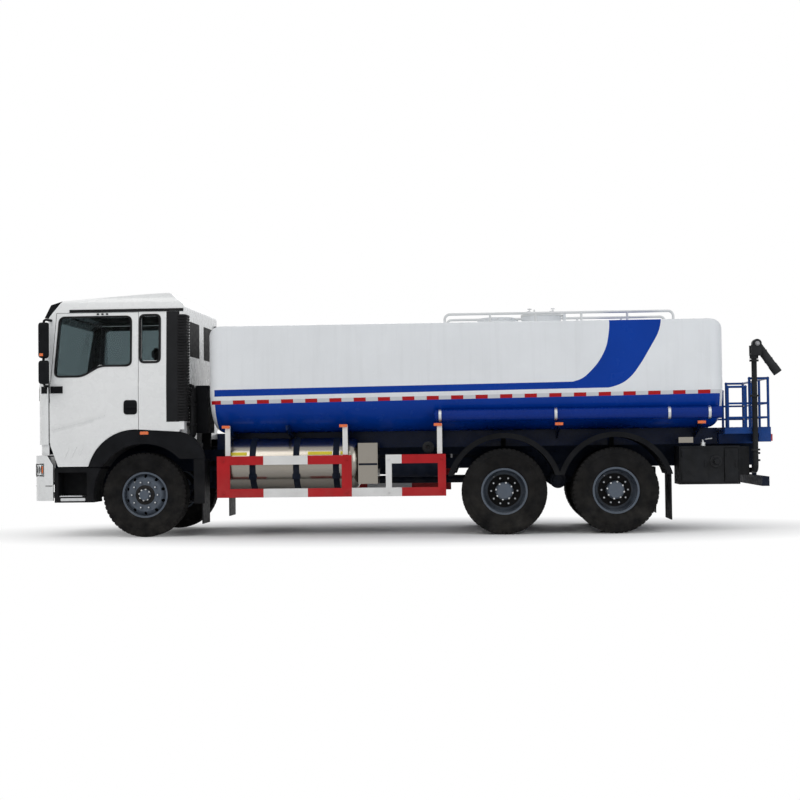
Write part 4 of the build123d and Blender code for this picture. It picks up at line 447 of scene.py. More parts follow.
class Shape:
    """A piece put together from simple solids, in metres in the truck's frame."""

    def __init__(self, name):
        self.name = name
        self.mesh = bmesh.new()

    def faces(self, points, polygons):
        made = [self.mesh.verts.new(p) for p in points]
        for polygon in polygons:
            self.mesh.faces.new([made[i] for i in polygon])
        return made

    def box(self, low, high, bevel=0.0):
        (a, b, c), (d, e, f) = [[op(p, q) for p, q in zip(low, high)] for op in (min, max)]
        points = [(a, b, c), (d, b, c), (d, e, c), (a, e, c), (a, b, f), (d, b, f), (d, e, f), (a, e, f)]
        made = self.faces(points, BOX_FACES)
        if bevel:
            edges = list({edge for v in made for edge in v.link_edges})
            bmesh.ops.bevel(
                self.mesh, geom=edges, offset=bevel, segments=2, affect="EDGES", clamp_overlap=True)

    def lathe(self, start, axis, outline, sides=32):
        """Turned solid about an axis: outline of (distance along it, radius), closed at zero radius."""
        axis = Vector(axis).normalized()
        across = axis.orthogonal().normalized()
        other = axis.cross(across)
        spokes = [across * math.cos(2 * math.pi * i / sides) + other * math.sin(2 * math.pi * i / sides)
                  for i in range(sides)]
        rings = []
        for along, radius in outline:
            centre = Vector(start) + axis * along
            spread = spokes if radius >= 1e-6 else [Vector()]
            rings.append([self.mesh.verts.new(centre + spoke * radius) for spoke in spread])
        for a, b in zip(rings, rings[1:]):
            for i in range(sides):
                j = (i + 1) % sides
                corner = [a[i % len(a)], a[j % len(a)], b[j % len(b)], b[i % len(b)]]
                face = [v for k, v in enumerate(corner) if v not in corner[:k]]
                if len(face) > 2:
                    self.mesh.faces.new(face)

    def rod(self, start, end, radius, sides=16):
        along = Vector(end) - Vector(start)
        self.lathe(start, along, [(0, 0), (0, radius), (along.length, radius), (along.length, 0)], sides)

    def ring(self, start, axis, inner, outer, width, sides):
        """Square-edged ring about an axis, open on its inside."""
        self.lathe(start, axis, [(0, inner), (0, outer), (width, outer), (width, inner)], sides)

    def bolt(self, place, axis, size):
        """Hexagon head on a washer."""
        axis = Vector(axis).normalized()
        place = Vector(place)
        # start, outline and sides, in shares of the size
        for start, outline, sides in ((0, [(0, 0), (0, 0.72), (0.12, 0.72), (0.12, 0)], 16),
                                      (0.12, [(0, 0.56), (0.5, 0.56), (0.58, 0.45), (0.58, 0)], 6)):
            scaled = [(size * along, size * radius) for along, radius in outline]
            self.lathe(place + axis * size * start, axis, scaled, sides)

    def tube(self, points, radius, sides=12):
        """Round tube along points, with mitred corners."""
        points = [Vector(p) for p in points]
        normal = (points[1] - points[0]).normalized().orthogonal().normalized()
        rings = []
        for i, point in enumerate(points):
            before = (point - points[i - 1]).normalized() if i else (points[1] - point).normalized()
            after = (points[i + 1] - point).normalized() if i + 1 < len(points) else before
            tangent = (before + after).normalized()
            normal = (normal - tangent * normal.dot(tangent)).normalized()
            other = tangent.cross(normal)
            angles = [2 * math.pi * k / sides for k in range(sides)]
            rings.append([point + (normal * math.cos(a) + other * math.sin(a)) * radius for a in angles])
        self.loft(rings)

    def ribbon(self, points, normals, width, depth, closed=False):
        """Flat strip along points on a surface, standing off along the normals."""
        rows = []
        count = len(points)
        for i in range(count):
            here, normal = Vector(points[i]), Vector(normals[i]).normalized()
            back = Vector(points[i - 1]) if closed or i else here
            ahead = Vector(points[(i + 1) % count]) if closed or i + 1 < count else here
            first, second = (here - back).normalized(), (ahead - here).normalized()
            along = (first + second).normalized()
            side = normal.cross(along).normalized()
            straight = side.dot(normal.cross(second if second.length else first).normalized())
            half = side * width / 2 / max(0.35, abs(straight))
            low, high = normal * -0.0015, normal * depth
            rows.append([here + o for o in (half + low, half + high, high - half, low - half)])
        self.loft(rows, closed)

    def slab(self, outline, depth, direction):
        """Flat plate: outline points pushed along a direction."""
        push = Vector(direction).normalized() * depth
        self.loft([outline, [Vector(p) + push for p in outline]])

    def loft(self, outlines, closed=False):
        """Solid skin through outlines of equal count, closed at both ends or into a ring."""
        rings = [[self.mesh.verts.new(Vector(p)) for p in outline] for outline in outlines]
        pairs = list(zip(rings, rings[1:]))
        if closed:
            pairs.append((rings[-1], rings[0]))
        else:
            self.mesh.faces.new(rings[0][::-1])
            self.mesh.faces.new(rings[-1])
        for a, b in pairs:
            for k in range(len(a)):
                j = (k + 1) % len(a)
                self.mesh.faces.new((a[k], a[j], b[j], b[k]))

    def done(self, finish, body, slot, smooth=35.0):
        bmesh.ops.recalc_face_normals(self.mesh, faces=self.mesh.faces)
        mesh = bpy.data.meshes.new(self.name)
        self.mesh.to_mesh(mesh)
        self.mesh.free()
        mesh.shade_smooth()
        mesh.set_sharp_from_angle(angle=math.radians(smooth))
        piece = bpy.data.objects.new(self.name, mesh)
        bpy.context.scene.collection.objects.link(piece)
        mesh.materials.append(FINISHES[finish])
        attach(piece, body)
        return piece


OUTSIDE, ABOVE = 3.0, 4.0       # where rays towards the truck's sides and its top start


class Skin:
    """The outer surface of some CAD nodes, for setting trims on it."""

    def __init__(self, *nodes):
        points, polygons = [], []
        for node in nodes:
            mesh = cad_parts[node].data
            start = len(points)
            points += [v.co.copy() for v in mesh.vertices]
            polygons += [[start + i for i in p.vertices] for p in mesh.polygons]
        self.tree = BVHTree.FromPolygons(points, polygons)

    def hit(self, start, direction):
        place, normal, _, _ = self.tree.ray_cast(Vector(start), Vector(direction).normalized())
        if place is None:
            raise RuntimeError("no surface there: %s" % (start,))
        if normal.dot(Vector(direction)) > 0:
            normal = -normal
        return place, normal

    def side(self, x, z, side):
        return self.hit((x, side * OUTSIDE, z), (0, -side, 0))

    def front(self, y, z):
        return self.hit((CAB_FRONT + 2.0, y, z), (-1, 0, 0))

    def top(self, x, y):
        return self.hit((x, y, ABOVE), -UP)[0]


def trace(skin, path, side, step=0.06):
    """Points and normals on a side skin along a path of (x, z)."""
    points, normals = [], []
    for (x0, z0), (x1, z1) in zip(path, path[1:]):
        count = max(1, int(math.hypot(x1 - x0, z1 - z0) / step))
        for i in range(count):
            t = i / count
            place, normal = skin.side(x0 + (x1 - x0) * t, z0 + (z1 - z0) * t, side)
            points.append(place)
            normals.append(normal)
    place, normal = skin.side(*path[-1], side)
    return points + [place], normals + [normal]


WHEELS = ("front_left", "front_right", "rear_1_left", "rear_1_right", "rear_2_left", "rear_2_right")

# Nodes that take each finish
NODE_FINISHES = {
    "cab_white": ("cab_front", "cab_roof", "cab_sides", "cab_rear_wall", "door_left", "door_right",
                  "front_bumper"),
    "corner": ("corner_trims",),
    "plastic": ("grille", "sun_visor", "mirrors", "cab_mudguards", "mudguards", "cab_steps", "air_intake"),
    "inside": ("cab_floor", "dashboard"),
    "cloth": ("seats",),
    "glass": ("cab_glass", "door_glass_left", "door_glass_right"),
    "lamp": ("front_lamps",),
    "marker": ("lamps",),
    "chassis": ("frame", "engine", "leaf_springs", "side_boxes", "rear_bar"),
    "axle": ("front_axle", "rear_axles", "drive_shafts", "knuckle_left", "knuckle_right", "tie_rod"),
    "tank": ("tank",),
    "subframe": ("tank_subframe",),
    "deck_blue": ("platform_deck", "platform_rails"),
    "white": ("hatch_lid", "top_rails"),
    "shaded_tube_blue": ("hose_tubes",),
    "guard": ("side_guards",),
    "stainless": ("gas_cylinder",),
    # Near black pump housing: partly painted shade under the platform
    "pump": ("water_pump",),
    "cast": ("gun_swivel", "gun_barrel"),
    "rim": tuple("rim_" + wheel for wheel in WHEELS),
    "rubber": tuple("tyre_" + wheel for wheel in WHEELS),
}


class TANKER_OT_paint(bpy.types.Operator):
    """Give every CAD node its finish"""
    bl_idname = "tanker.paint"
    bl_label = "Paint the nodes"

    def execute(self, context):
        make_finishes(context.scene.tanker_colours, context.scene.tanker_sizes)
        for finish, nodes in NODE_FINISHES.items():
            for node in nodes:
                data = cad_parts[node].data
                data.materials.clear()
                data.materials.append(FINISHES[finish])
        return {"FINISHED"}


# Wheels

# Section of a tyre: radius over the tread, half width, half width of the tread, radius at the bead
TYRE_RADIUS, TYRE_HALF, TREAD_HALF, BEAD = 0.5425, 0.150, 0.126, 0.286
TWIN_WIDTH = 0.4        # a tyre node wider than this is a pair
LUG_CUT = 0.85          # how far the cross grooves of a driven tyre sink into its ribs
LUG_SKEW = 0.35         # lean of those grooves at the tread's edge, in pitches
# Cross groove over one pitch: place in the pitch, share of the tread's depth
GROOVE_STEPS = ((0.0, 0.0), (0.60, 0.0), (0.68, 0.9), (0.92, 0.9))


def tyre_section(depth, lugs):
    """Section of a tyre as (across, radius, share of a cross groove's depth there)."""
    wall = [(-0.098, BEAD, 0), (-0.112, BEAD + 0.004, 0), (-0.128, BEAD + 0.020, 0),
            (-0.133, BEAD + 0.024, 0), (-0.136, BEAD + 0.036, 0), (-0.146, 0.372, 0), (-TYRE_HALF, 0.405, 0),
            (-0.1495, 0.432, 0),
            (-0.1465, 0.436, 0), (-0.1455, 0.460, 0), (-0.1480, 0.464, 0), (-0.143, 0.492, 0.1),
            (-0.137, 0.512, 0.7), (-TREAD_HALF - 0.002, TYRE_RADIUS - 0.006, 1.0)]
    shoulder = 1.0 if lugs else 0.25
    bottom = TYRE_RADIUS - depth
    ribs = [(-TREAD_HALF + 0.006, TYRE_RADIUS - 0.003, 1.0), (-0.083, TYRE_RADIUS, shoulder)]
    for groove in (-0.076, -0.026, 0.026):
        ribs += [(groove - 0.006, TYRE_RADIUS, lugs), (groove - 0.003, bottom, 0),
                 (groove + 0.003, bottom, 0), (groove + 0.006, TYRE_RADIUS, lugs)]
    ribs += [(0.070, TYRE_RADIUS, lugs), (0.073, bottom, 0), (0.079, bottom, 0),
             (0.082, TYRE_RADIUS, shoulder), (TREAD_HALF - 0.006, TYRE_RADIUS - 0.003, 1.0)]
    return wall + ribs + [(-across, radius, share) for across, radius, share in wall[::-1]]


def tyre_shape(name, centre, sizes, lugs):
    """One tyre with ribs, grooves and shoulder blocks."""
    section = tyre_section(sizes.tread_depth, lugs)
    rings = []
    for pitch in range(sizes.tread_pitches):
        for place, cut in GROOVE_STEPS:
            ring = []
            for across, radius, share in section:
                skew = LUG_SKEW * across / TREAD_HALF if lugs else 0.0
                angle = 2 * math.pi * (pitch + place + skew * share) / sizes.tread_pitches
                deep = radius - sizes.tread_depth * cut * share
                ring.append(centre + Vector((deep * math.cos(angle), across, deep * math.sin(angle))))
            rings.append(ring)
    shape = Shape(name)
    shape.loft(rings, closed=True)
    return shape


class TANKER_OT_tyres(bpy.types.Operator):
    """Tyres with tread and ringed sidewalls on all wheels"""
    bl_idname = "tanker.tyres"
    bl_label = "Tyres"

    def execute(self, context):
        sizes = context.scene.tanker_sizes
        for wheel in WHEELS:
            low, high = (Vector(v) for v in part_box("tyre_" + wheel))
            middle = (low + high) / 2
            twin = high.y - low.y > TWIN_WIDTH
            places = (low.y + TYRE_HALF, high.y - TYRE_HALF) if twin else (middle.y,)
            for i, y in enumerate(places):
                centre = Vector((middle.x, y, middle.z))
                shape = tyre_shape("tread_%s_%d" % (wheel, i), centre, sizes, LUG_CUT if twin else 0.0)
                piece = shape.done("rubber", "wheel_" + wheel, "tyre_rubber", 32.0)
                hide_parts("tyre_" + wheel)
        return {"FINISHED"}


# Radii of the fittings on a front and on a rear rim
HUB_BOLTS = {"front": 0.068, "rear": 0.105}
VALVE_RADIUS = {"front": 0.205, "rear": 0.222}
STUD_RADIUS = 0.1675
HUB_TURN, VALVE_TURN = 0.2, 0.94        # angles of the first hub bolt and of the valve


def rim_face(wheel, side):
    """A function that finds the point of a rim's outer face at a radius and an angle."""
    skin, x = Skin("rim_" + wheel), node_middle("tyre_" + wheel).x

    def place(radius, angle):
        return skin.side(x + radius * math.cos(angle), AXLE_HEIGHT + radius * math.sin(angle), side)[0]

    return place


def hub_bolts(wheel, kind, out, face):
    """Eight hub bolts and ten stud ends."""
    bolts = Shape("hub_bolts_" + wheel)
    for i in range(8):
        bolts.bolt(face(HUB_BOLTS[kind], 2 * math.pi * i / 8 + HUB_TURN), out, 0.017)
    for i in range(10):
        stud = face(STUD_RADIUS, 2 * math.pi * i / 10)
        bolts.rod(stud - out * 0.002, stud + out * 0.009, 0.009, 10)
    bolts.done("zinc", "wheel_" + wheel, "rim_steel")


def wheel_shade(wheel, kind, out):
    """Dark rings of painted shade: behind a front rim's holes and on its hub, or in the dish of a rear rim.
    """
    middle = node_middle("tyre_" + wheel)
    centre = Vector((middle.x, middle.y, AXLE_HEIGHT))
    if kind == "front":
        shade = Shape("hole_shade_" + wheel)
        shade.lathe(centre - out * 0.030, out,
                    [(0, 0.190), (0, 0.264), (0.006, 0.264), (0.006, 0.190), (0, 0.190)], 48)
        shade.lathe(centre + out * 0.103, out,
                    [(0, 0.077), (0.012, 0.080), (0.014, 0.084), (0.014, 0.118), (0.010, 0.124),
                     (0, 0.124)], 40)
    else:
        shade = Shape("dish_shade_" + wheel)
        shade.lathe(centre + out * 0.027, out,
                    [(0, 0.119), (0.004, 0.119), (0.004, 0.210), (0, 0.210), (0, 0.119)], 48)
    shade.done("seal", "wheel_" + wheel, "rim_steel")


def tyre_valve(wheel, kind, out, face):
    """Valve stem with its cap."""
    valve = Shape("valve_" + wheel)
    foot = face(VALVE_RADIUS[kind], VALVE_TURN)
    valve.rod(foot - out * 0.004, foot + out * 0.045, 0.006, 10)
    valve.rod(foot + out * 0.043, foot + out * 0.060, 0.008, 10)
    valve.done("steel", "wheel_" + wheel, "rim_steel")


class TANKER_OT_wheel_fittings(bpy.types.Operator):
    """Hub bolts, dark rings of painted shade and valves on all wheels"""
    bl_idname = "tanker.wheel_fittings"
    bl_label = "Wheel fittings"

    def execute(self, context):
        for wheel in WHEELS:
            side = LEFT if wheel.endswith("left") else RIGHT
            kind, out, face = wheel.split("_")[0], Vector((0, side, 0)), rim_face(wheel, side)
            hub_bolts(wheel, kind, out, face)
            wheel_shade(wheel, kind, out)
            tyre_valve(wheel, kind, out, face)
        return {"FINISHED"}


# Cab

# Corners of the side windows as (x, z)
WINDOW_TOP, WINDOW_LOW, WINDOW_KINK = ROOF_EDGE - 0.071, 2.085, 2.217
WINDOW = ((at(1136), WINDOW_LOW), (at(1075.5), WINDOW_TOP), (at(169), WINDOW_TOP), (at(169), WINDOW_KINK),
          (at(564), WINDOW_KINK), (at(794), WINDOW_LOW))
QUARTER_TOP, QUARTER_LOW = ROOF_EDGE - 0.061, 2.260
QUARTER = ((at(24), QUARTER_TOP), (at(-200), QUARTER_TOP), (at(-200), QUARTER_LOW), (at(24), QUARTER_LOW))
MIRROR_PLATE_HEIGHT = 1.903
GUTTER_HEIGHT = ROOF_EDGE + 0.019

# Ribbed rubber on the cab's rear corners
# Bends in millimetres ahead of the cab's rear and inward from its side
RIB_COUNT, RIB_LOW, RIB_HIGH = 37, 1.50, ROOF_EDGE - 0.06
RIB_BEND = ((85, 30), (75, 12), (60, 4), (40, 0), (18, 0), (0, 7), (-12, 25), (-15, 50), (-15, 200))
RIB_BACKINGS = ((50, 33), (4, 27), (0, 62))


def grown(path, reach, radius, steps=5):
    """Outline of (x, z) moved outwards from its middle line, with rounded corners."""
    count = len(path)
    area = sum(a[0] * b[1] - b[0] * a[1] for a, b in zip(path, path[1:] + path[:1]))
    turn = 1 if area > 0 else -1
    points = []
    for i in range(count):
        before, here, after = (Vector(path[k % count]) for k in (i - 1, i, i + 1))
        first, second = (here - before).normalized(), (after - here).normalized()
        out = Vector((first.y + second.y, -first.x - second.x)).normalized() * turn
        share = max(0.4, out.dot(Vector((first.y, -first.x)) * turn))
        corner = here + out * reach / share
        start, end = corner - first * radius, corner + second * radius
        for k in range(steps + 1):
            t = k / steps
            points.append(start * (1 - t) ** 2 + corner * 2 * t * (1 - t) + end * t * t)
    return points


def window_seal(name, skin, outline, side, width, body):
    """Flat rubber seal around a side window."""
    ring = [skin.side(p.x, p.y, side)[0] for p in outline]
    seal = Shape(name)
    seal.ribbon(ring, [Vector((0, side, 0.05))] * len(ring), width, 0.006, closed=True)
    seal.done("seal", body, "black_plastic")


def door_handle(word, side, door, body):
    """Rounded recess with a grip and a lock."""
    front, rear, low, high = at(252), at(78), 1.575, 1.760
    face = door.side(at(150), 1.665, side)[0].y
    handle = Shape("door_handle_" + word)
    recess = grown([(front, low), (rear, low), (rear, high), (front, high)], 0.0, 0.045)
    handle.slab([(p.x, face - side * 0.004, p.y) for p in recess], 0.010, (0, side, 0))
    handle.box((at(236), face + side * 0.006, 1.655), (at(92), face + side * 0.028, 1.690), 0.006)
    handle.rod((at(112), face, 1.612), (at(112), face + side * 0.011, 1.612), 0.014, 16)
    handle.done("plastic", body, "black_plastic")


def door_pressings(word, side, door, body):
    """Rising swage lines and three slanted louvres of a door."""
    swage = Shape("door_swage_" + word)
    # start, end, width and height of a line
    for start, end, width, height in (((at(1195), 1.395), (at(500), 1.565), 0.020, 0.005),
                                      ((at(1190), 1.365), (at(640), 1.500), 0.012, 0.004)):
        swage.ribbon(*trace(door, (start, end), side, 0.12), width, height)
    swage.done("cab_white", body, "cab_white")
    louvres = Shape("door_louvres_" + word)
    for i in range(3):
        x, z = at(1035 - 95 * i), 1.015 + 0.012 * i
        louvres.ribbon(*trace(door, ((x, z), (x - 0.065, z + 0.140)), side, 0.05), 0.022, 0.003)
    louvres.done("cab_white", body, "cab_white")


def mirror_plates(word, side, door, body):
    """Black plates at the foot of the mirror's arm, on the cab's corner and on the door."""
    # name, wall, front and rear station, body
    for name, wall, front, rear, owner in (("corner_plate_", Skin("cab_front"), 1325, 1216, "cab"),
                                           ("door_plate_", door, 1202, 1042, body)):
        plate = Shape(name + word)
        path = ((at(front), MIRROR_PLATE_HEIGHT), (at(rear), MIRROR_PLATE_HEIGHT))
        plate.ribbon(*trace(wall, path, side, 0.03), 0.090, 0.008)
        plate.done("plastic", owner, "black_plastic")


def roof_gutter(word, side, cab):
    """Black gutter along the roof's edge."""
    gutter = Shape("roof_gutter_" + word)
    path = ((at(960), GUTTER_HEIGHT), (at(-520), GUTTER_HEIGHT))
    gutter.ribbon(*trace(cab, path, side, 0.1), 0.036, 0.012)
    gutter.done("seal", "cab", "black_plastic")


def clearance_lamps(word, side, cab, body):
    """Three small dark lamps over the door's window."""
    half = Vector((0.014, 0.004, 0.010))
    lamps = Shape("clearance_lamps_" + word)
    for i in range(3):
        place, normal = cab.side(at(590 - 60 * i), ROOF_EDGE - 0.024, side)
        lamps.box(place - half, place + half + normal * 0.010, 0.003)
    lamps.done("plastic", body, "black_plastic")


def corner_ribs(word, side):
    """Ribbed rubber around a rear corner, on upright backings."""
    trim = Skin("corner_trims")
    levels = []
    for k in range(RIB_COUNT):
        z = RIB_LOW + (RIB_HIGH - RIB_LOW) * k / (RIB_COUNT - 1)
        levels.append((abs(trim.side(CAB_REAR + 0.08, z, side)[0].y), z))

    def place(ahead, inward, level):
        reach, z = level
        return CAB_REAR + ahead / 1000, side * (reach - inward / 1000), z

    ribs = Shape("corner_ribs_" + word)
    for level in levels:
        ribs.tube([place(*bend, level) for bend in RIB_BEND], 0.0195)
    for backing in RIB_BACKINGS:
        ribs.tube([place(*backing, level) for level in levels[::6]], 0.032)
    ribs.done("seal", "cab", "black_plastic", 60.0)


def rear_window_shade_sheet():
    """Black sheets on the two windows of the rear wall: painted shade in place of the view into the cab."""
    film = Shape("rear_window_shade_sheet")
    for side in SIDES:
        film.box((CAB_REAR + 0.001, side * 0.152, 2.332), (CAB_REAR + 0.004, side * 0.818, ROOF_EDGE - 0.108))
    film.done("seal", "cab", "glass")


def rear_conduits():
    """Four bent conduits down the rear wall, in two clamps."""
    conduits = Shape("rear_conduits")
    for k, y in enumerate((0.86, 0.92, 0.98, 1.04)):
        top = 1.95 - 0.05 * k
        # ahead of the rear wall, height
        bends = ((0.004, top), (-0.045, top - 0.015), (-0.062, top - 0.08), (-0.062, 1.32), (-0.03, 1.275))
        conduits.tube([(CAB_REAR + ahead, y, z) for ahead, z in bends], 0.026)
    for z in (1.42, 1.68):
        conduits.box((CAB_REAR - 0.092, 0.82, z), (CAB_REAR + 0.002, 1.08, z + 0.04), 0.006)
    conduits.done("seal", "cab", "black_plastic")


class TANKER_OT_cab_trim(bpy.types.Operator):
    """Window seals, gutters, handles, louvres, lamps, corner ribs and conduits of the cab"""
    bl_idname = "tanker.cab_trim"
    bl_label = "Cab trim"

    def execute(self, context):
        for side, word in HANDS:
            door, body = Skin("door_" + word), "door_%s_body" % word
            window_seal("window_seal_" + word, door, grown(WINDOW, 0.012, 0.070), side, 0.026, body)
            door_handle(word, side, door, body)
            door_pressings(word, side, door, body)
            mirror_plates(word, side, door, body)
            cab = Skin("cab_sides", "cab_roof", "cab_front", "corner_trims", "door_" + word)
            roof_gutter(word, side, cab)
            wall = Skin("cab_sides", "corner_trims")
            window_seal("quarter_seal_" + word, wall, grown(QUARTER, 0.016, 0.060), side, 0.030, "cab")
            clearance_lamps(word, side, cab, body)
            corner_ribs(word, side)
        rear_window_shade_sheet()
        rear_conduits()
        return {"FINISHED"}


SCREEN_HALF, SCREEN_LOW, SCREEN_HIGH = 1.085, 1.782, 2.818
SEAM_HEIGHT = 0.672         # seam of the bumper
BEZEL = ((0.775, 0.803), (0.775, 0.947), (1.075, 0.947), (1.075, 0.803))    # across, height


def across(skin, z, start, step, count):
    """Points and normals on a front skin at one height, from a start across the truck."""
    return zip(*(skin.front(start + step * k, z) for k in range(count)))


def grille_bars(front):
    bars = Shape("grille_bars")
    for i in range(5):
        bars.ribbon(*across(front, 1.365 + 0.052 * i, -0.78, 0.13, 13), 0.026, 0.012)
    bars.done("steel", "cab", "black_plastic")


def screen_seal():
    """Rubber seal around the windscreen."""
    shell = Skin("cab_front")
    half = [(SCREEN_HALF * (k / 6 - 1), SCREEN_LOW) for k in range(13)]
    half += [(SCREEN_HALF, SCREEN_LOW + (SCREEN_HIGH - SCREEN_LOW) * k / 8) for k in range(1, 8)]
    path = half + [(-y, SCREEN_LOW + SCREEN_HIGH - z) for y, z in half]
    seal = Shape("screen_seal")
    seal.ribbon(*zip(*(shell.front(y, z) for y, z in path)), 0.030, 0.006, closed=True)
    seal.done("seal", "cab", "black_plastic")


def wiper_arms(front):
    """Two wiper arms with their blades."""
    glass = Skin("cab_glass")
    wipers = Shape("wipers")
    for start, end in ((0.35, 0.95), (-0.55, 0.10)):
        foot, out = front.front(start, 1.74)
        tip, tip_out = glass.front(end, 1.95)
        middle, middle_out = glass.front((start + end) / 2, 1.86)
        wipers.rod(foot, foot + out * 0.03, 0.016, 12)
        wipers.tube([foot + out * 0.022, middle + middle_out * 0.030, tip + tip_out * 0.028], 0.007, 8)
        blade = [(end - 0.42 + 0.14 * k, 1.93 + 0.012 * k) for k in range(6)]
        wipers.ribbon(*zip(*(glass.front(y, z) for y, z in blade if y < SCREEN_HALF - 0.045)), 0.012, 0.022)
    wipers.done("seal", "cab", "black_plastic")


def nose_lines(front):
    """Panel gaps across the cab's front."""
    lines = Shape("front_nose_panel")
    for z in (1.255, 1.66, 1.70):
        lines.ribbon(*across(front, z, -1.05, 0.15, 15), 0.012, 0.004)
    lines.done("seal", "cab", "black_plastic")


def headlamp(word, side, bumper):
    """Two bright cups behind the lamp's glass, a dark bezel and the turn lamp on the side."""
    cups = Shape("headlamp_cups_" + word)
    for y, radius in ((0.86, 0.062), (1.00, 0.055)):
        back = bumper.front(side * y, 0.875)[0] - Vector((0.024, 0, 0))
        cups.lathe(back, (1, 0, 0), [(0, 0), (0.004, radius * 0.35), (0.012, radius * 0.8), (0.020, radius),
                                     (0.021, radius - 0.004), (0.013, radius * 0.7), (0.006, 0)], 24)
    cups.done("stainless", "chassis", "lamp_glass")
    bezel = Shape("headlamp_bezel_" + word)
    bezel.ribbon(*zip(*(bumper.front(side * y, z) for y, z in BEZEL)), 0.016, 0.005, closed=True)
    bezel.done("seal", "chassis", "black_plastic")
    turn = Shape("turn_lamp_" + word)
    x = BUMPER_FRONT - 0.165
    turn.ribbon(*trace(bumper, ((x, 0.835), (x, 0.925)), side, 0.03), 0.018, 0.004)
    turn.done("amber", "chassis", "lamp_amber")


def bumper_fittings(word, side, bumper):
    """Seam of the bumper around its corner, and a fog lamp."""
    seam = Shape("bumper_seam_" + word)
    seam.ribbon(*across(bumper, SEAM_HEIGHT, side * 0.52, side * 0.07, 9), 0.010, 0.003)
    path = ((BUMPER_FRONT - 0.21, SEAM_HEIGHT), (BUMPER_FRONT - 0.30, SEAM_HEIGHT))
    seam.ribbon(*trace(bumper, path, side, 0.04), 0.010, 0.003)
    seam.done("seal", "chassis", "black_plastic")
    fog = Shape("fog_lamp_" + word)
    place, normal = bumper.front(side * 0.90, 0.60)
    fog.lathe(place - normal * 0.004, normal,
              [(0, 0.055), (0.010, 0.055), (0.012, 0.046), (0.009, 0.030), (0.009, 0)], 24)
    fog.done("clear", "chassis", "lamp_glass")


def front_plate(bumper):
    """Blank number plate."""
    plate = Shape("front_plate")
    x = bumper.front(0.0, 0.86)[0].x
    plate.box((x - 0.004, -0.24, 0.79), (x, 0.24, 0.93), 0.002)
    plate.done("white", "chassis", "white_paint")


class TANKER_OT_cab_front(bpy.types.Operator):
    """Grille bars, screen seal, wipers, lamps, seams and plate of the cab's front"""
    bl_idname = "tanker.cab_front"
    bl_label = "Cab front"

    def execute(self, context):
        front = Skin("cab_front", "grille", "cab_glass")
        grille_bars(front)
        screen_seal()
        wiper_arms(front)
        nose_lines(front)
        bumper = Skin("front_bumper", "front_lamps")
        for side, word in HANDS:
            headlamp(word, side, bumper)
            bumper_fittings(word, side, bumper)
        front_plate(bumper)
        return {"FINISHED"}


# Mirrors: reach across, and places ahead of the arm
MIRROR_INNER, MIRROR_OUTER = 1.290, 1.487
MIRROR_FRONT, MIRROR_REAR_INNER, MIRROR_REAR_OUTER = 0.050, -0.024, -0.098
MIRROR_HEIGHTS = ((0.495, 0.045), (0.825, 0.530))       # lower and upper edge of a housing, below the arm
# Rounded end of a housing: rise from the end, reach of the outline there
MIRROR_END = ((0.0, -0.018), (0.007, -0.009), (0.020, -0.003), (0.036, 0.0))
ARM_RADIUS, ARM_REACH, ARM_DROP = 0.016, 1.390, 0.850
# Bends of the arm: ahead of, inward from and below its elbow
ARM_BENDS = ((-0.011, 0.059, 0), (-0.003, 0.018, 0.018), (0, 0, 0.060), (0, 0, 0.790), (0, 0.018, 0.832),
             (0, 0.060, ARM_DROP))


def mirror_housings(word, side, x, top, back):
    """Rounded housings, with glasses that face the driver."""
    glass = Shape("mirror_faces_" + word)
    inner = Vector((x + MIRROR_REAR_INNER, side * MIRROR_INNER, 0))
    outer = Vector((x + MIRROR_REAR_OUTER, side * MIRROR_OUTER, 0))
    front = x + MIRROR_FRONT
    plan = [(front, side * MIRROR_INNER), (front, side * MIRROR_OUTER), outer.xy, inner.xy]
    near, far = outer.lerp(inner, 0.16), outer.lerp(inner, 0.84)
    for below, above in MIRROR_HEIGHTS:
        low, high = top - below, top - above
        levels = [(low + rise, reach) for rise, reach in MIRROR_END]
        levels += [(high - rise, reach) for rise, reach in MIRROR_END[::-1]]
        back.loft([[(p.x, p.y, z) for p in grown(plan, reach, 0.024)] for z, reach in levels])
        corners = ((near, low + 0.035), (far, low + 0.035), (far, high - 0.035), (near, high - 0.035))
        glass.slab([(p.x, p.y, z) for p, z in corners], 0.003, (-0.200, -side * 0.074, 0))
    glass.done("mirror", "cab", "glass")


def mirror_arm(side, x, top, back):
    """Bent tube from the roof's edge, past the housings, to the plate below them."""
    cab = Skin("cab_front", "door_left", "door_right", "cab_roof")
    elbow = Vector((x + 0.005, side * ARM_REACH, top))
    root = cab.hit(elbow, (-0.060, -side * 0.330, 0))[0]
    foot = cab.hit(elbow - UP * ARM_DROP, (0, -side, 0))[0]
    bends = [elbow + Vector((ahead, -side * inward, -below)) for ahead, inward, below in ARM_BENDS]
    root += Vector((-0.001, -side * 0.004, 0))
    foot -= Vector((0, side * 0.004, 0))
    back.tube([root, *bends, foot], ARM_RADIUS)


class TANKER_OT_mirrors(bpy.types.Operator):
    """Mirror glasses, housings, arms and repeater lamps"""
    bl_idname = "tanker.mirrors"
    bl_label = "Mirrors"

    def execute(self, context):
        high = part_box("mirrors")[1]
        x, top = high[0] - MIRROR_FRONT, high[2] - ARM_RADIUS
        for side, word in HANDS:
            back = Shape("mirror_backs_" + word)
            mirror_housings(word, side, x, top, back)
            mirror_arm(side, x, top, back)
            piece = back.done("plastic", "cab", "black_plastic", 50.0)
            if side == LEFT:
                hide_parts("mirrors")
            lamp = Shape("mirror_repeater_" + word)
            lamp.box((x - 0.030, side * 1.400, top - 0.488), (x + 0.046, side * 1.490, top - 0.425), 0.014)
            lamp.done("amber", "cab", "lamp_amber")
        return {"FINISHED"}


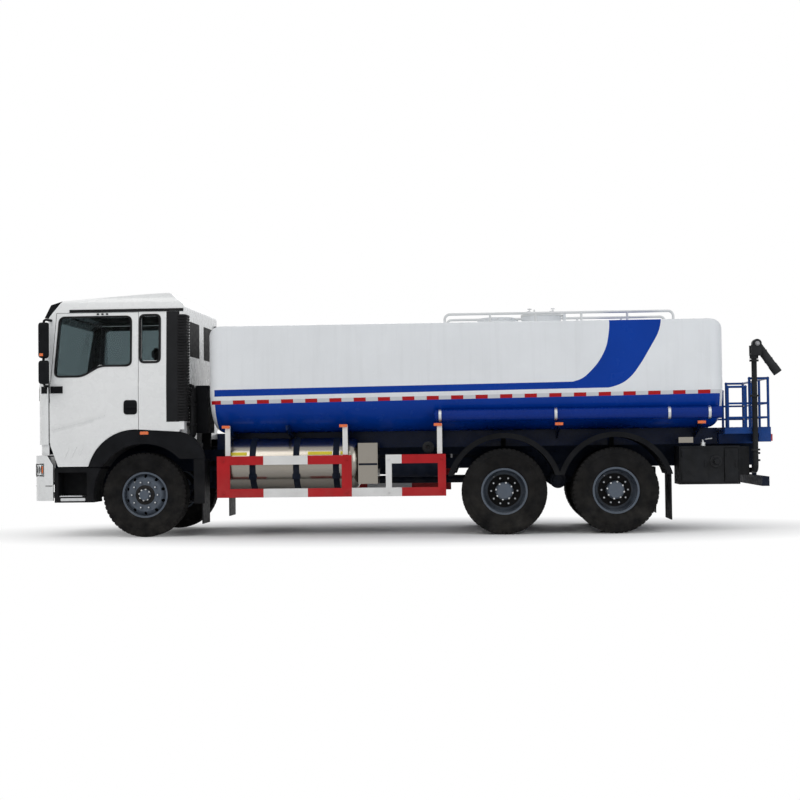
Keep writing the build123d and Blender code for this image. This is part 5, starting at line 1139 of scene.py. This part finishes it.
# Padded pieces of a seat: rear, inner, low and front, outer, high corner behind the cab's front, and rounding
SEAT_PADS = {
    "seat_cushion_": ((1.46, 0.455, 1.665), (0.93, 0.965, 1.808), 0.05),
    "seat_back_": ((1.535, 0.470, 1.82), (1.385, 0.950, 2.26), 0.05),
    "seat_headrest_": ((1.54, 0.590, 2.275), (1.425, 0.830, 2.462), 0.04),
}


def seat_pads(word, side):
    """Crowned cushion, back and headrest of one seat."""
    for name, (low, high, bevel) in SEAT_PADS.items():
        corners = [(CAB_FRONT - behind, side * y, z) for behind, y, z in (low, high)]
        pad = Shape(name + word)
        pad.box(*corners, bevel)
        piece = pad.done("cloth", "cab", "seat_cloth", 60.0)
        soft = piece.modifiers.new("Round", "SUBSURF")
        soft.levels = soft.render_levels = 2


def seat_bases():
    """Boxes below the cushions and the headrests' posts."""
    base = Shape("seat_bases")
    for side in SIDES:
        base.box((CAB_FRONT - 1.38, side * 0.52, 1.331), (CAB_FRONT - 1.02, side * 0.90, 1.66), 0.01)
        for y in (0.66, 0.76):
            base.rod((CAB_FRONT - 1.48, side * y, 2.24), (CAB_FRONT - 1.483, side * y, 2.30), 0.008, 10)
    piece = base.done("inside", "cab", "interior_plastic")
    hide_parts("seats")


def headliner():
    roof = Shape("headliner")
    roof.box((CAB_REAR + 0.10, -1.04, 2.905), (CAB_FRONT - 0.42, 1.04, 2.925), 0.006)
    roof.done("headliner", "cab", "interior_plastic")


def driver_controls():
    """Hood over the dials with a ledge beside it, gear lever and pedals."""
    dials = Shape("dial_hood")
    dials.box((CAB_FRONT - 0.49, 0.48, 1.846), (CAB_FRONT - 0.30, 0.92, 1.93), 0.02)
    dials.box((CAB_FRONT - 0.35, -0.95, 1.848), (CAB_FRONT - 0.20, 0.40, 1.862), 0.004)
    dials.done("inside", "cab", "interior_plastic")
    lever = Shape("gear_lever")
    y, knob = 0.30, CAB_FRONT - 0.77
    lever.tube([(CAB_FRONT - 0.75, y, 1.57), (CAB_FRONT - 0.74, y, 1.80), (knob, y, 1.90)], 0.011, 10)
    lever.lathe((knob, y, 1.89), UP, [(0, 0), (0.004, 0.018), (0.025, 0.026), (0.045, 0.02), (0.05, 0)], 14)
    lever.done("seal", "cab", "interior_plastic")
    pedals = Shape("pedals")
    for y in (0.55, 0.70, 0.86):
        pedals.tube([(CAB_FRONT - 0.26, y, 1.58), (CAB_FRONT - 0.33, y, 1.45)], 0.010, 8)
        pedals.box((CAB_FRONT - 0.37, y - 0.035, 1.405), (CAB_FRONT - 0.33, y + 0.035, 1.475), 0.006)
    pedals.done("steel", "cab", "interior_plastic")


class TANKER_OT_cab_inside(bpy.types.Operator):
    """Padded seats, headliner, dials, gear lever and pedals"""
    bl_idname = "tanker.cab_inside"
    bl_label = "Cab inside"

    def execute(self, context):
        for side, word in HANDS:
            seat_pads(word, side)
        seat_bases()
        headliner()
        driver_controls()
        return {"FINISHED"}


# Chassis

RAIL_FACE = 0.4295          # outer face of a frame rail, across
BOLT_HEIGHTS = (0.895, 1.045)
TRUNNION_HEIGHT, TRUNNION_FACE = 0.668, 0.575


def circle(count, radius, share=0.0):
    """Offsets of evenly spaced points on a circle, the first one by a share of a step."""
    for k in range(count):
        angle = 2 * math.pi * (k + share) / count
        yield radius * math.cos(angle), radius * math.sin(angle)


def frame_bolts(size):
    bolts = Shape("frame_bolts")
    for side in SIDES:
        for station in range(-1250, -7700, -310):
            for z in BOLT_HEIGHTS:
                bolts.bolt((at(station), side * RAIL_FACE, z), (0, side, 0), size)
    bolts.done("chassis", "chassis", "chassis_black")


def spring_straps():
    """Four bolts and two plates that hold each front spring on the axle."""
    straps = Shape("spring_straps")
    for side in SIDES:
        for x in (FRONT_AXLE - 0.09, FRONT_AXLE + 0.09):
            for y in (0.352, 0.448):
                straps.rod((x, side * y, 0.40), (x, side * y, 0.73), 0.011, 10)
            straps.box((x - 0.014, side * 0.345, 0.725), (x + 0.014, side * 0.455, 0.745), 0.004)
    straps.done("steel", "chassis", "chassis_black")


def brake_chambers():
    """Round chambers with push rods ahead of the rear axles."""
    y, z = 0.30, 0.79
    chambers = Shape("brake_chambers")
    for x in REAR_AXLES:
        for side in SIDES:
            chambers.lathe((x + 0.12, side * y, z), (1, 0, 0),
                           [(0, 0), (0, 0.05), (0.02, 0.085), (0.09, 0.085), (0.10, 0.092), (0.115, 0.092),
                            (0.125, 0.085), (0.21, 0.08), (0.23, 0.05), (0.23, 0)], 24)
            chambers.rod((x + 0.02, side * y, z), (x + 0.13, side * y, z), 0.011, 10)
            chambers.box((x + 0.02, side * 0.27, 0.66), (x + 0.13, side * 0.33, 0.76), 0.006)
    chambers.done("chassis", "chassis", "chassis_black")


def step_treads():
    """Ribbed tread of the upper step and edge of the lower one."""
    treads = Shape("step_treads")
    for side in SIDES:
        treads.box((at(800), side * 0.985, 0.529), (at(1095), side * 1.216, 0.541), 0.003)
        for k in range(9):
            x = at(830 + 30 * k)
            treads.box((x, side * 1.00, 0.540), (x + 0.012, side * 1.20, 0.546), 0.0015)
        treads.box((at(760), side * 1.205, 0.475), (at(1080), side * 1.222, 0.512), 0.005)
    treads.done("zinc", "chassis", "black_plastic")


def frame_pipes():
    """Two air pipes along each rail, in clips."""
    pipes = Shape("frame_pipes")
    for side in SIDES:
        for k, z in enumerate((0.98, 1.005)):
            y = side * (0.440 + 0.012 * k)
            bends = ((-1150, z), (-4150, z), (-4300, z - 0.05), (-5000, z - 0.05))
            pipes.tube([(at(station), y, height) for station, height in bends], 0.006, 8)
    pipes.done("seal", "chassis", "chassis_black")
    clips = Shape("pipe_clips")
    for side in SIDES:
        for k in range(7):
            x = at(-1400 - 420 * k)
            clips.box((x - 0.012, side * 0.430, 0.965), (x + 0.012, side * 0.463, 1.018), 0.003)
    clips.done("steel", "chassis", "chassis_black")


def arch_markers():
    """Amber markers on the front mudguards."""
    guards = Skin("cab_mudguards")
    marks = Shape("arch_markers")
    for side in SIDES:
        face = guards.side(at(-10), 1.335, side)[0].y
        marks.box((at(40), face - side * 0.004, 1.315), (at(-70), face + side * 0.012, 1.355), 0.005)
    marks.done("amber", "cab", "lamp_amber")


def trunnion_caps():
    """Bolted caps on the pivots between the rear axles."""
    x = sum(REAR_AXLES) / 2
    caps = Shape("trunnion_caps")
    for side in SIDES:
        caps.lathe((x, side * TRUNNION_FACE, TRUNNION_HEIGHT), (0, side, 0),
                   [(0, 0.11), (0.05, 0.11), (0.06, 0.10), (0.06, 0.075), (0.075, 0.06), (0.08, 0)], 28)
        for dx, dz in circle(6, 0.088):
            caps.bolt((x + dx, side * (TRUNNION_FACE + 0.06), TRUNNION_HEIGHT + dz), (0, side, 0), 0.016)
    caps.done("axle", "chassis", "chassis_black")


class TANKER_OT_chassis(bpy.types.Operator):
    """Frame bolts, spring straps, brake chambers, step treads, pipes, markers and caps of the chassis"""
    bl_idname = "tanker.chassis"
    bl_label = "Chassis fittings"

    def execute(self, context):
        frame_bolts(context.scene.tanker_sizes.bolt)
        spring_straps()
        brake_chambers()
        step_treads()
        frame_pipes()
        arch_markers()
        trunnion_caps()
        return {"FINISHED"}


# Tank and side equipment

DOME_X, HATCH_X = at(-4551), at(-5133)
TANK_MIDDLE = 2.06          # height from which the weld seams are drawn
CYLINDER_Y, CYLINDER_Z, CYLINDER_RADIUS = 0.838, 0.912, 0.335
VALVE_FACE = CYLINDER_Y + 0.290
REFLECTOR_RISE = 0.43       # angle of the reflectors above the cylinder's side
TUBE_Y, TUBE_Z = 1.168, 1.510


def dome_bolts(tank):
    bolts = Shape("dome_bolts")
    for dx, y in circle(16, 0.250):
        bolts.bolt(tank.top(DOME_X + dx, y), UP, 0.022)
    bolts.done("zinc", "chassis", "white_paint")


def hatch_clamps():
    """Four screw clamps on the hatch's lid."""
    lid, high = Skin("hatch_lid"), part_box("hatch_lid")[1][2]
    clamps = Shape("hatch_clamps")
    for angle in (0.9, -0.9, 2.2, -2.2):
        x, y = HATCH_X + 0.255 * math.cos(angle), 0.255 * math.sin(angle)
        low = lid.top(x, y).z
        clamps.box((x - 0.018, y - 0.018, low - 0.002), (x + 0.018, y + 0.018, low + 0.016), 0.004)
        clamps.rod((x, y, low + 0.01), (x, y, high), 0.010, 10)
        clamps.rod((x - 0.028, y, high - 0.008), (x + 0.028, y, high - 0.008), 0.006, 8)
    clamps.done("zinc", "hatch_body", "white_paint")


def tank_seams(tank):
    """Weld seams around the tank near its ends."""
    seams = Shape("tank_seams")
    for station in (-1010, -7190):
        ring = []
        for k in range(41):
            angle = math.pi * (-0.35 + 1.7 * k / 40)
            out = Vector((0, math.cos(angle), math.sin(angle)))
            ring.append(tank.hit(Vector((at(station), 0, TANK_MIDDLE)) + out * OUTSIDE, -out))
        seams.ribbon(*zip(*ring), 0.010, 0.002)
    seams.done("tank", "chassis", "white_paint")


class TANKER_OT_tank_fittings(bpy.types.Operator):
    """Bolted dome, hatch clamps and weld seams of the tank"""
    bl_idname = "tanker.tank_fittings"
    bl_label = "Tank fittings"

    def execute(self, context):
        tank = Skin("tank")
        dome_bolts(tank)
        hatch_clamps()
        tank_seams(tank)
        return {"FINISHED"}


def cylinder_straps():
    """Three straps around the gas cylinder, each with a bolted lug."""
    inner, outer, width = CYLINDER_RADIUS + 0.004, CYLINDER_RADIUS + 0.009, 0.078
    straps = Shape("cylinder_straps")
    for x in (at(-1395), at(-1955), at(-2465)):
        straps.ring((x - width / 2, CYLINDER_Y, CYLINDER_Z), (1, 0, 0), inner, outer, width, 64)
        straps.box((x - 0.05, CYLINDER_Y + 0.30, CYLINDER_Z - 0.19),
                   (x + 0.05, CYLINDER_Y + 0.325, CYLINDER_Z - 0.12), 0.006)
        straps.bolt((x, CYLINDER_Y + 0.325, CYLINDER_Z - 0.155), (0, 1, 0), 0.022)
    straps.done("chassis", "chassis", "stainless")


def cylinder_valve_box():
    """Two lids with a latch on the cylinder's valve box, and the seam between them."""
    front, rear = at(-2757), at(-2985)
    lids = Shape("cylinder_valve_lids")
    for low, high in ((0.915, 1.165), (0.668, 0.893)):
        lids.box((front, VALVE_FACE - 0.002, low), (rear, VALVE_FACE + 0.006, high), 0.003)
    lids.box((at(-2860), VALVE_FACE + 0.004, 0.935), (at(-2885), VALVE_FACE + 0.018, 0.985), 0.004)
    lids.done("stainless", "chassis", "stainless")
    seam = Shape("cylinder_valve_seam")
    seam.box((front + 0.005, VALVE_FACE - 0.002, 0.891), (rear - 0.005, VALVE_FACE + 0.003, 0.917))
    seam.done("chassis", "chassis", "stainless")


def cylinder_reflectors():
    """Yellow strips on the cylinder's upper side."""
    out = Vector((0, math.cos(REFLECTOR_RISE), math.sin(REFLECTOR_RISE)))
    strips = Shape("cylinder_reflectors")
    for ends in ((-1114, -1320), (-2104, -2415), (-2520, -2620)):
        points = [Vector((at(s), CYLINDER_Y, CYLINDER_Z)) + out * CYLINDER_RADIUS for s in ends]
        strips.ribbon(points, [out, out], 0.045, 0.002)
    strips.done("yellow", "chassis", "stainless")


def battery_lid():
    """Lid of the battery box with two straps and their latches."""
    lid = Shape("battery_lid")
    lid.box((at(-1140), -0.50, 1.058), (at(-1910), -1.158, 1.082), 0.008)
    for station in (-1300, -1750):
        lid.box((at(station), -1.149, 0.60), (at(station - 40), -1.156, 1.075), 0.003)
        lid.box((at(station + 8), -1.154, 0.94), (at(station - 48), -1.166, 1.00), 0.004)
    lid.done("plastic", "chassis", "black_plastic")


def guard_bolts():
    guards = Skin("side_guards")
    bolts = Shape("guard_bolts")
    for side in SIDES:
        for station in (-1032, -2608, -3142, -3815):
            for z in (0.968, 0.552):
                bolts.bolt(guards.side(at(station), z, side)[0], (0, side, 0), 0.024)
    bolts.done("guard", "chassis", "guard_paint")


def air_valve():
    """Round air valve on its bracket behind the side guard."""
    x, z = at(-3640), 1.11
    valve = Shape("air_valve")
    valve.lathe((x, 1.02, z), (0, 1, 0),
                [(0, 0.075), (0.05, 0.075), (0.06, 0.06), (0.06, 0.035), (0.04, 0.03), (0.04, 0)], 24)
    valve.rod((x, 0.95, z), (x, 1.03, z), 0.035, 14)
    valve.box((x - 0.025, 0.43, z - 0.025), (x + 0.025, 0.97, z + 0.025), 0.008)
    valve.done("cast", "chassis", "cast")


def tube_fittings():
    """Bright bands around the hose tubes and caps on their front ends."""
    bands = Shape("tube_bands")
    for side in SIDES:
        for station in (-3800, -5260, -6680, -7180):
            bands.ring((at(station) - 0.017, side * TUBE_Y, TUBE_Z), (1, 0, 0), 0.077, 0.0815, 0.034, 40)
    bands.done("zinc", "chassis", "stainless")
    caps = Shape("tube_caps")
    for side in SIDES:
        caps.lathe((at(-3762), side * TUBE_Y, TUBE_Z), (1, 0, 0),
                   [(0, 0.079), (0.022, 0.079), (0.030, 0.070), (0.042, 0.045), (0.046, 0)], 32)
    caps.done("shaded_tube_blue", "chassis", "blue_paint")


class TANKER_OT_side_equipment(bpy.types.Operator):
    """Gas cylinder straps, valve box and reflectors, battery lid, guard bolts, air valve and tube bands"""
    bl_idname = "tanker.side_equipment"
    bl_label = "Side equipment"

    def execute(self, context):
        cylinder_straps()
        cylinder_valve_box()
        cylinder_reflectors()
        battery_lid()
        guard_bolts()
        air_valve()
        tube_fittings()
        return {"FINISHED"}


# Rear end

CHEQUER_ROWS, CHEQUER_COLUMNS, CHEQUER_HALF, CHEQUER_EDGE = 9, 31, 0.92, 0.04
BAR_REAR, BAR_LOW, BAR_HIGH = at(-7920), 0.605, 0.665
BAR_FIELD = 0.09                        # width of one field of the rear bar's stripes
PUMP_FACE = 0.985
RISER_X, GUN_Y = at(-7770), 1.030
GUN_PIVOT = Vector((at(-7804), GUN_Y, 2.370))
GUN_DROP = math.radians(55)             # hang of the stowed barrel below level


def chequer_floor():
    """Raised lozenges on the platform's deck, each turned against its neighbours."""
    plate = Shape("chequer_floor")
    rise = UP * 0.004
    for i in range(CHEQUER_ROWS):
        x = DECK_LOW.x + CHEQUER_EDGE
        x += (DECK_HIGH.x - DECK_LOW.x - 2 * CHEQUER_EDGE) * i / (CHEQUER_ROWS - 1)
        for k in range(CHEQUER_COLUMNS):
            y = CHEQUER_HALF * (2 * k / (CHEQUER_COLUMNS - 1) - 1)
            turn = 1 if (i + k) % 2 else -1
            middle = Vector((x, y, DECK_HIGH.z - 0.001))
            long, short = Vector((0.016, 0.016 * turn, 0)), Vector((0.004, -0.004 * turn, 0))
            foot = [middle - long, middle - short, middle + long, middle + short]
            top = [middle + rise - long * 0.7, middle + rise - short * 0.6,
                   middle + rise + long * 0.7, middle + rise + short * 0.6]
            plate.faces(foot + top, BOX_FACES)
    plate.done("deck_blue", "chassis", "blue_paint")


def rear_plate():
    """Blank number plate."""
    plate = Shape("rear_plate")
    plate.box((DECK_LOW.x - 0.006, -0.26, 1.142), (DECK_LOW.x + 0.002, 0.26, 1.228), 0.002)
    plate.done("white", "chassis", "white_paint")


def bar_stripes():
    """Red and white fields along the rear bar."""
    # name, first field, finish, slot
    for name, first, finish, slot in (("rear_bar_stripes", -1.08, "red", "chassis_black"),
                                      ("rear_bar_whites", -1.08 + BAR_FIELD, "white", "white_paint")):
        fields = Shape(name)
        for k in range(12):
            y = first + 2 * BAR_FIELD * k
            fields.box((BAR_REAR - 0.002, y, BAR_LOW), (BAR_REAR + 0.004, y + BAR_FIELD, BAR_HIGH), 0.001)
        fields.done(finish, "chassis", slot)


def rear_lamp_parts():
    """Amber parts of the rear lamps."""
    lamps = Shape("rear_lamp_parts")
    for side in SIDES:
        lamps.box((DECK_LOW.x - 0.026, side * 0.79, 1.145), (DECK_LOW.x - 0.02, side * 0.86, 1.223), 0.002)
    lamps.done("amber", "chassis", "lamp_amber")


def pump_flanges():
    """Bolted flange of the hose outlet and three flanges of the gun's riser."""
    x, z = at(-7280), 0.890
    flanges = Shape("pump_flanges")
    flanges.ring((x, PUMP_FACE - 0.002, z), (0, 1, 0), 0.046, 0.075, 0.022, 28)
    for dx, dz in circle(6, 0.060):
        flanges.bolt((x + dx, PUMP_FACE + 0.020, z + dz), (0, 1, 0), 0.012)
    for z in (1.02, 1.70, 2.145):
        flanges.ring((RISER_X, GUN_Y, z), UP, 0.033, 0.058, 0.024, 24)
    flanges.done("cast", "chassis", "cast")


def pump_box_doors():
    """Two doors of the pump's housing with hinges and latches, in the near black that partly paints the shade
    under the platform.
    """
    doors = Shape("pump_box_doors")
    for front, rear in ((-6835, -7180), (-7380, -7565)):
        doors.box((at(front), PUMP_FACE - 0.002, 0.625), (at(rear), PUMP_FACE + 0.010, 1.060), 0.006)
        x, y = at(front - 20), PUMP_FACE + 0.012
        for z in (0.70, 0.99):
            doors.rod((x, y, z - 0.035), (x, y, z + 0.035), 0.009, 10)
        doors.box((at(rear + 50), PUMP_FACE + 0.008, 0.82), (at(rear + 20), PUMP_FACE + 0.022, 0.90), 0.004)
    doors.done("pump", "chassis", "cast")


def outlet_valve():
    """Valve on the pump's housing with its bent lever."""
    foot = Vector((at(-7130), 0.90, 1.083))
    valve = Shape("outlet_valve")
    valve.rod(foot, foot + UP * 0.05, 0.034, 20)
    valve.rod(foot + UP * 0.045, foot + UP * 0.085, 0.013, 12)
    bends = ((0, 0, 0.078), (-0.03, 0.04, 0.088), (-0.11, 0.06, 0.100))
    valve.tube([foot + Vector(bend) for bend in bends], 0.010, 10)
    valve.done("zinc", "chassis", "stainless")


def blank_plate():
    """Bare metal plate on its bracket below the tank."""
    plate = Shape("blank_plate")
    plate.box((at(-6790), 1.186, 1.13), (at(-6970), 1.192, 1.20), 0.001)
    plate.box((at(-6860), 0.42, 1.15), (at(-6900), 1.188, 1.18), 0.002)
    plate.done("stainless", "chassis", "stainless")


class TANKER_OT_platform(bpy.types.Operator):
    """Chequer floor, plates, bar stripes, rear lamps and pump fittings"""
    bl_idname = "tanker.platform"
    bl_label = "Rear platform"

    def execute(self, context):
        chequer_floor()
        rear_plate()
        bar_stripes()
        rear_lamp_parts()
        pump_flanges()
        pump_box_doors()
        outlet_valve()
        blank_plate()
        return {"FINISHED"}


class TANKER_OT_gun(bpy.types.Operator):
    """Rings, pivot bolts and flange nuts of the water gun"""
    bl_idname = "tanker.gun"
    bl_label = "Water gun"

    def execute(self, context):
        along = Vector((-math.cos(GUN_DROP), 0, -math.sin(GUN_DROP)))
        rings = Shape("gun_rings")
        for distance in (0.13, 0.25, 0.375):
            rings.ring(GUN_PIVOT + along * distance, along, 0.052, 0.058, 0.016, 28)
        rings.done("cast", "gun_barrel_body", "cast")
        nuts = Shape("gun_swivel_nuts")
        for side in SIDES:
            nuts.bolt(GUN_PIVOT + Vector((0, side * 0.0765, 0)), (0, side, 0), 0.040)
        for dx, dy in circle(8, 0.046, 0.5):
            nuts.bolt((RISER_X + dx, GUN_Y + dy, 2.237), UP, 0.009)
        nuts.done("steel", "gun_swivel_body", "cast")
        return {"FINISHED"}


# Stage

FLOOR_HALF = 90.0
# Where the floor's shadow fades to white: stretch along the truck, start and end of the fade
FADE_STRETCH, FADE_START, FADE_END = 1.9, 1.6, 3.4
# name, place, target, size, share of the key lamp's power, colour
LAMPS = (
    ("key", (7.0, 11.0, 12.0), (0.0, 0.0, 1.5), 9.0, 1.0, (1.0, 0.985, 0.96)),
    ("fill", (-10.0, 9.0, 7.0), (-1.0, 0.0, 1.5), 8.0, 0.55, (0.96, 0.98, 1.0)),
    ("back", (0.0, -12.0, 10.0), (0.0, 0.0, 2.0), 10.0, 0.6, (1.0, 1.0, 1.0)),
)
WHITE = (1.0, 1.0, 1.0, 1.0)


def seen_rays(nodes, links):
    """Socket that is 1 on camera, glossy and transmission rays."""
    path = nodes.new("ShaderNodeLightPath")
    seen = path.outputs["Is Camera Ray"]
    for ray in ("Is Glossy Ray", "Is Transmission Ray"):
        either = nodes.new("ShaderNodeMath")
        either.operation = "MAXIMUM"
        links.new(seen, either.inputs[0])
        links.new(path.outputs[ray], either.inputs[1])
        seen = either.outputs[0]
    return seen


def mixed(nodes, links, factor, first, second):
    """Output of a mix of two shaders."""
    blend = nodes.new("ShaderNodeMixShader")
    for socket, source in zip(blend.inputs, (factor, first, second)):
        links.new(source, socket)
    return blend.outputs[0]


def studio_world(scene, sky):
    """World that lights softly, and is white to the camera, in gloss and through glass."""
    scene.world = bpy.data.worlds.new("studio")
    scene.world.use_nodes = True
    nodes, links = scene.world.node_tree.nodes, scene.world.node_tree.links
    nodes.clear()
    light, white = nodes.new("ShaderNodeBackground"), nodes.new("ShaderNodeBackground")
    light.inputs["Color"].default_value = (0.95, 0.97, 1.0, 1.0)
    light.inputs["Strength"].default_value = sky
    white.inputs["Color"].default_value = WHITE
    white.inputs["Strength"].default_value = 1.0
    surface = mixed(nodes, links, seen_rays(nodes, links), light.outputs[0], white.outputs[0])
    links.new(surface, nodes.new("ShaderNodeOutputWorld").inputs["Surface"])


def pale_floor(scene):
    """Floor that keeps the truck's shadow and fades to white around it."""
    ground = bpy.data.meshes.new("floor")
    corners = [(x * FLOOR_HALF, y * FLOOR_HALF, 0) for x, y in ((-1, -1), (1, -1), (1, 1), (-1, 1))]
    ground.from_pydata(corners, [], [(0, 1, 2, 3)])
    floor = bpy.data.objects.new("floor", ground)
    scene.collection.objects.link(floor)
    finish = Finish("pale_floor")
    nodes, links = finish.nodes, finish.links
    along = finish.calc("DIVIDE", finish.x, FADE_STRETCH)
    squares = finish.calc("ADD", finish.calc("POWER", along, 2.0), finish.calc("POWER", finish.y, 2.0))
    distance = finish.calc("SQRT", squares)
    shown = finish.calc("MULTIPLY", finish.ramp(distance, FADE_START, FADE_END), seen_rays(nodes, links))
    material = finish.done(finish.tones((0.90, 0.90, 0.90), 0.01, 1.0), roughness=0.9)
    glow = nodes.new("ShaderNodeEmission")
    glow.inputs["Color"].default_value = WHITE
    surface = mixed(nodes, links, shown, finish.shader.outputs[0], glow.outputs[0])
    links.new(surface, nodes["Material Output"].inputs["Surface"])
    ground.materials.append(material)


def area_lamps(scene, key):
    """Large soft lamps around the truck."""
    for name, place, target, size, share, colour in LAMPS:
        data = bpy.data.lights.new(name, "AREA")
        data.size, data.energy, data.color = size, key * share, colour
        lamp = bpy.data.objects.new(name, data)
        lamp.location = place
        lamp.rotation_euler = (Vector(target) - Vector(place)).to_track_quat("-Z", "Y").to_euler()
        scene.collection.objects.link(lamp)


def side_camera(scene, stage):
    """Camera on the truck's left, turned, tilted and rolled a little."""
    data = bpy.data.cameras.new("camera")
    data.lens, data.sensor_width, data.clip_end = stage.lens, 36.0, 200.0
    camera = bpy.data.objects.new("camera", data)
    turn = Matrix.Rotation(math.pi + stage.camera_turn, 4, "Z")
    tilt = Matrix.Rotation(math.pi / 2 + stage.camera_tilt, 4, "X")
    roll = Matrix.Rotation(stage.camera_roll, 4, "Z")
    camera.matrix_world = Matrix.Translation(stage.camera_place) @ turn @ tilt @ roll
    scene.collection.objects.link(camera)
    scene.camera = camera


class TANKER_OT_stage(bpy.types.Operator):
    """Pale floor, soft light and the camera"""
    bl_idname = "tanker.stage"
    bl_label = "Stage"

    def execute(self, context):
        scene, stage = context.scene, context.scene.tanker_stage
        scene.view_settings.view_transform = "Standard"
        studio_world(scene, stage.sky)
        pale_floor(scene)
        area_lamps(scene, stage.key)
        side_camera(scene, stage)
        return {"FINISHED"}


OPERATORS = (
    TANKER_OT_paint, TANKER_OT_tyres, TANKER_OT_wheel_fittings, TANKER_OT_cab_trim, TANKER_OT_cab_front,
    TANKER_OT_mirrors, TANKER_OT_cab_inside, TANKER_OT_chassis, TANKER_OT_tank_fittings,
    TANKER_OT_side_equipment, TANKER_OT_platform, TANKER_OT_gun, TANKER_OT_stage,
)


class TANKER_PT_panel(bpy.types.Panel):
    """Sizes, colours and steps of the tanker"""
    bl_idname = "TANKER_PT_panel"
    bl_label = "Water tanker truck"
    bl_space_type = "VIEW_3D"
    bl_region_type = "UI"
    bl_category = "Tanker"

    def draw(self, context):
        scene = context.scene
        for group in (scene.tanker_colours, scene.tanker_sizes, scene.tanker_stage):
            box = self.layout.box()
            for name in group.__annotations__:
                box.prop(group, name)
        for operator in OPERATORS:
            self.layout.operator(operator.bl_idname)


GROUPS = {"tanker_colours": TankerColours, "tanker_sizes": TankerSizes, "tanker_stage": TankerStage}


def register():
    for group in GROUPS.values():
        bpy.utils.register_class(group)
    for operator in OPERATORS:
        bpy.utils.register_class(operator)
    bpy.utils.register_class(TANKER_PT_panel)
    for name, group in GROUPS.items():
        setattr(bpy.types.Scene, name, PointerProperty(type=group))


def unregister():
    for name in GROUPS:
        delattr(bpy.types.Scene, name)
    bpy.utils.unregister_class(TANKER_PT_panel)
    for operator in reversed(OPERATORS):
        bpy.utils.unregister_class(operator)
    for group in reversed(list(GROUPS.values())):
        bpy.utils.unregister_class(group)


def main():
    register()
    bpy.ops.tanker.paint()
    bpy.ops.tanker.tyres()
    bpy.ops.tanker.wheel_fittings()
    bpy.ops.tanker.cab_trim()
    bpy.ops.tanker.cab_front()
    bpy.ops.tanker.mirrors()
    bpy.ops.tanker.cab_inside()
    bpy.ops.tanker.chassis()
    bpy.ops.tanker.tank_fittings()
    bpy.ops.tanker.side_equipment()
    bpy.ops.tanker.platform()
    bpy.ops.tanker.gun()
    bpy.ops.tanker.stage()


if __name__ == "__main__":
    main()
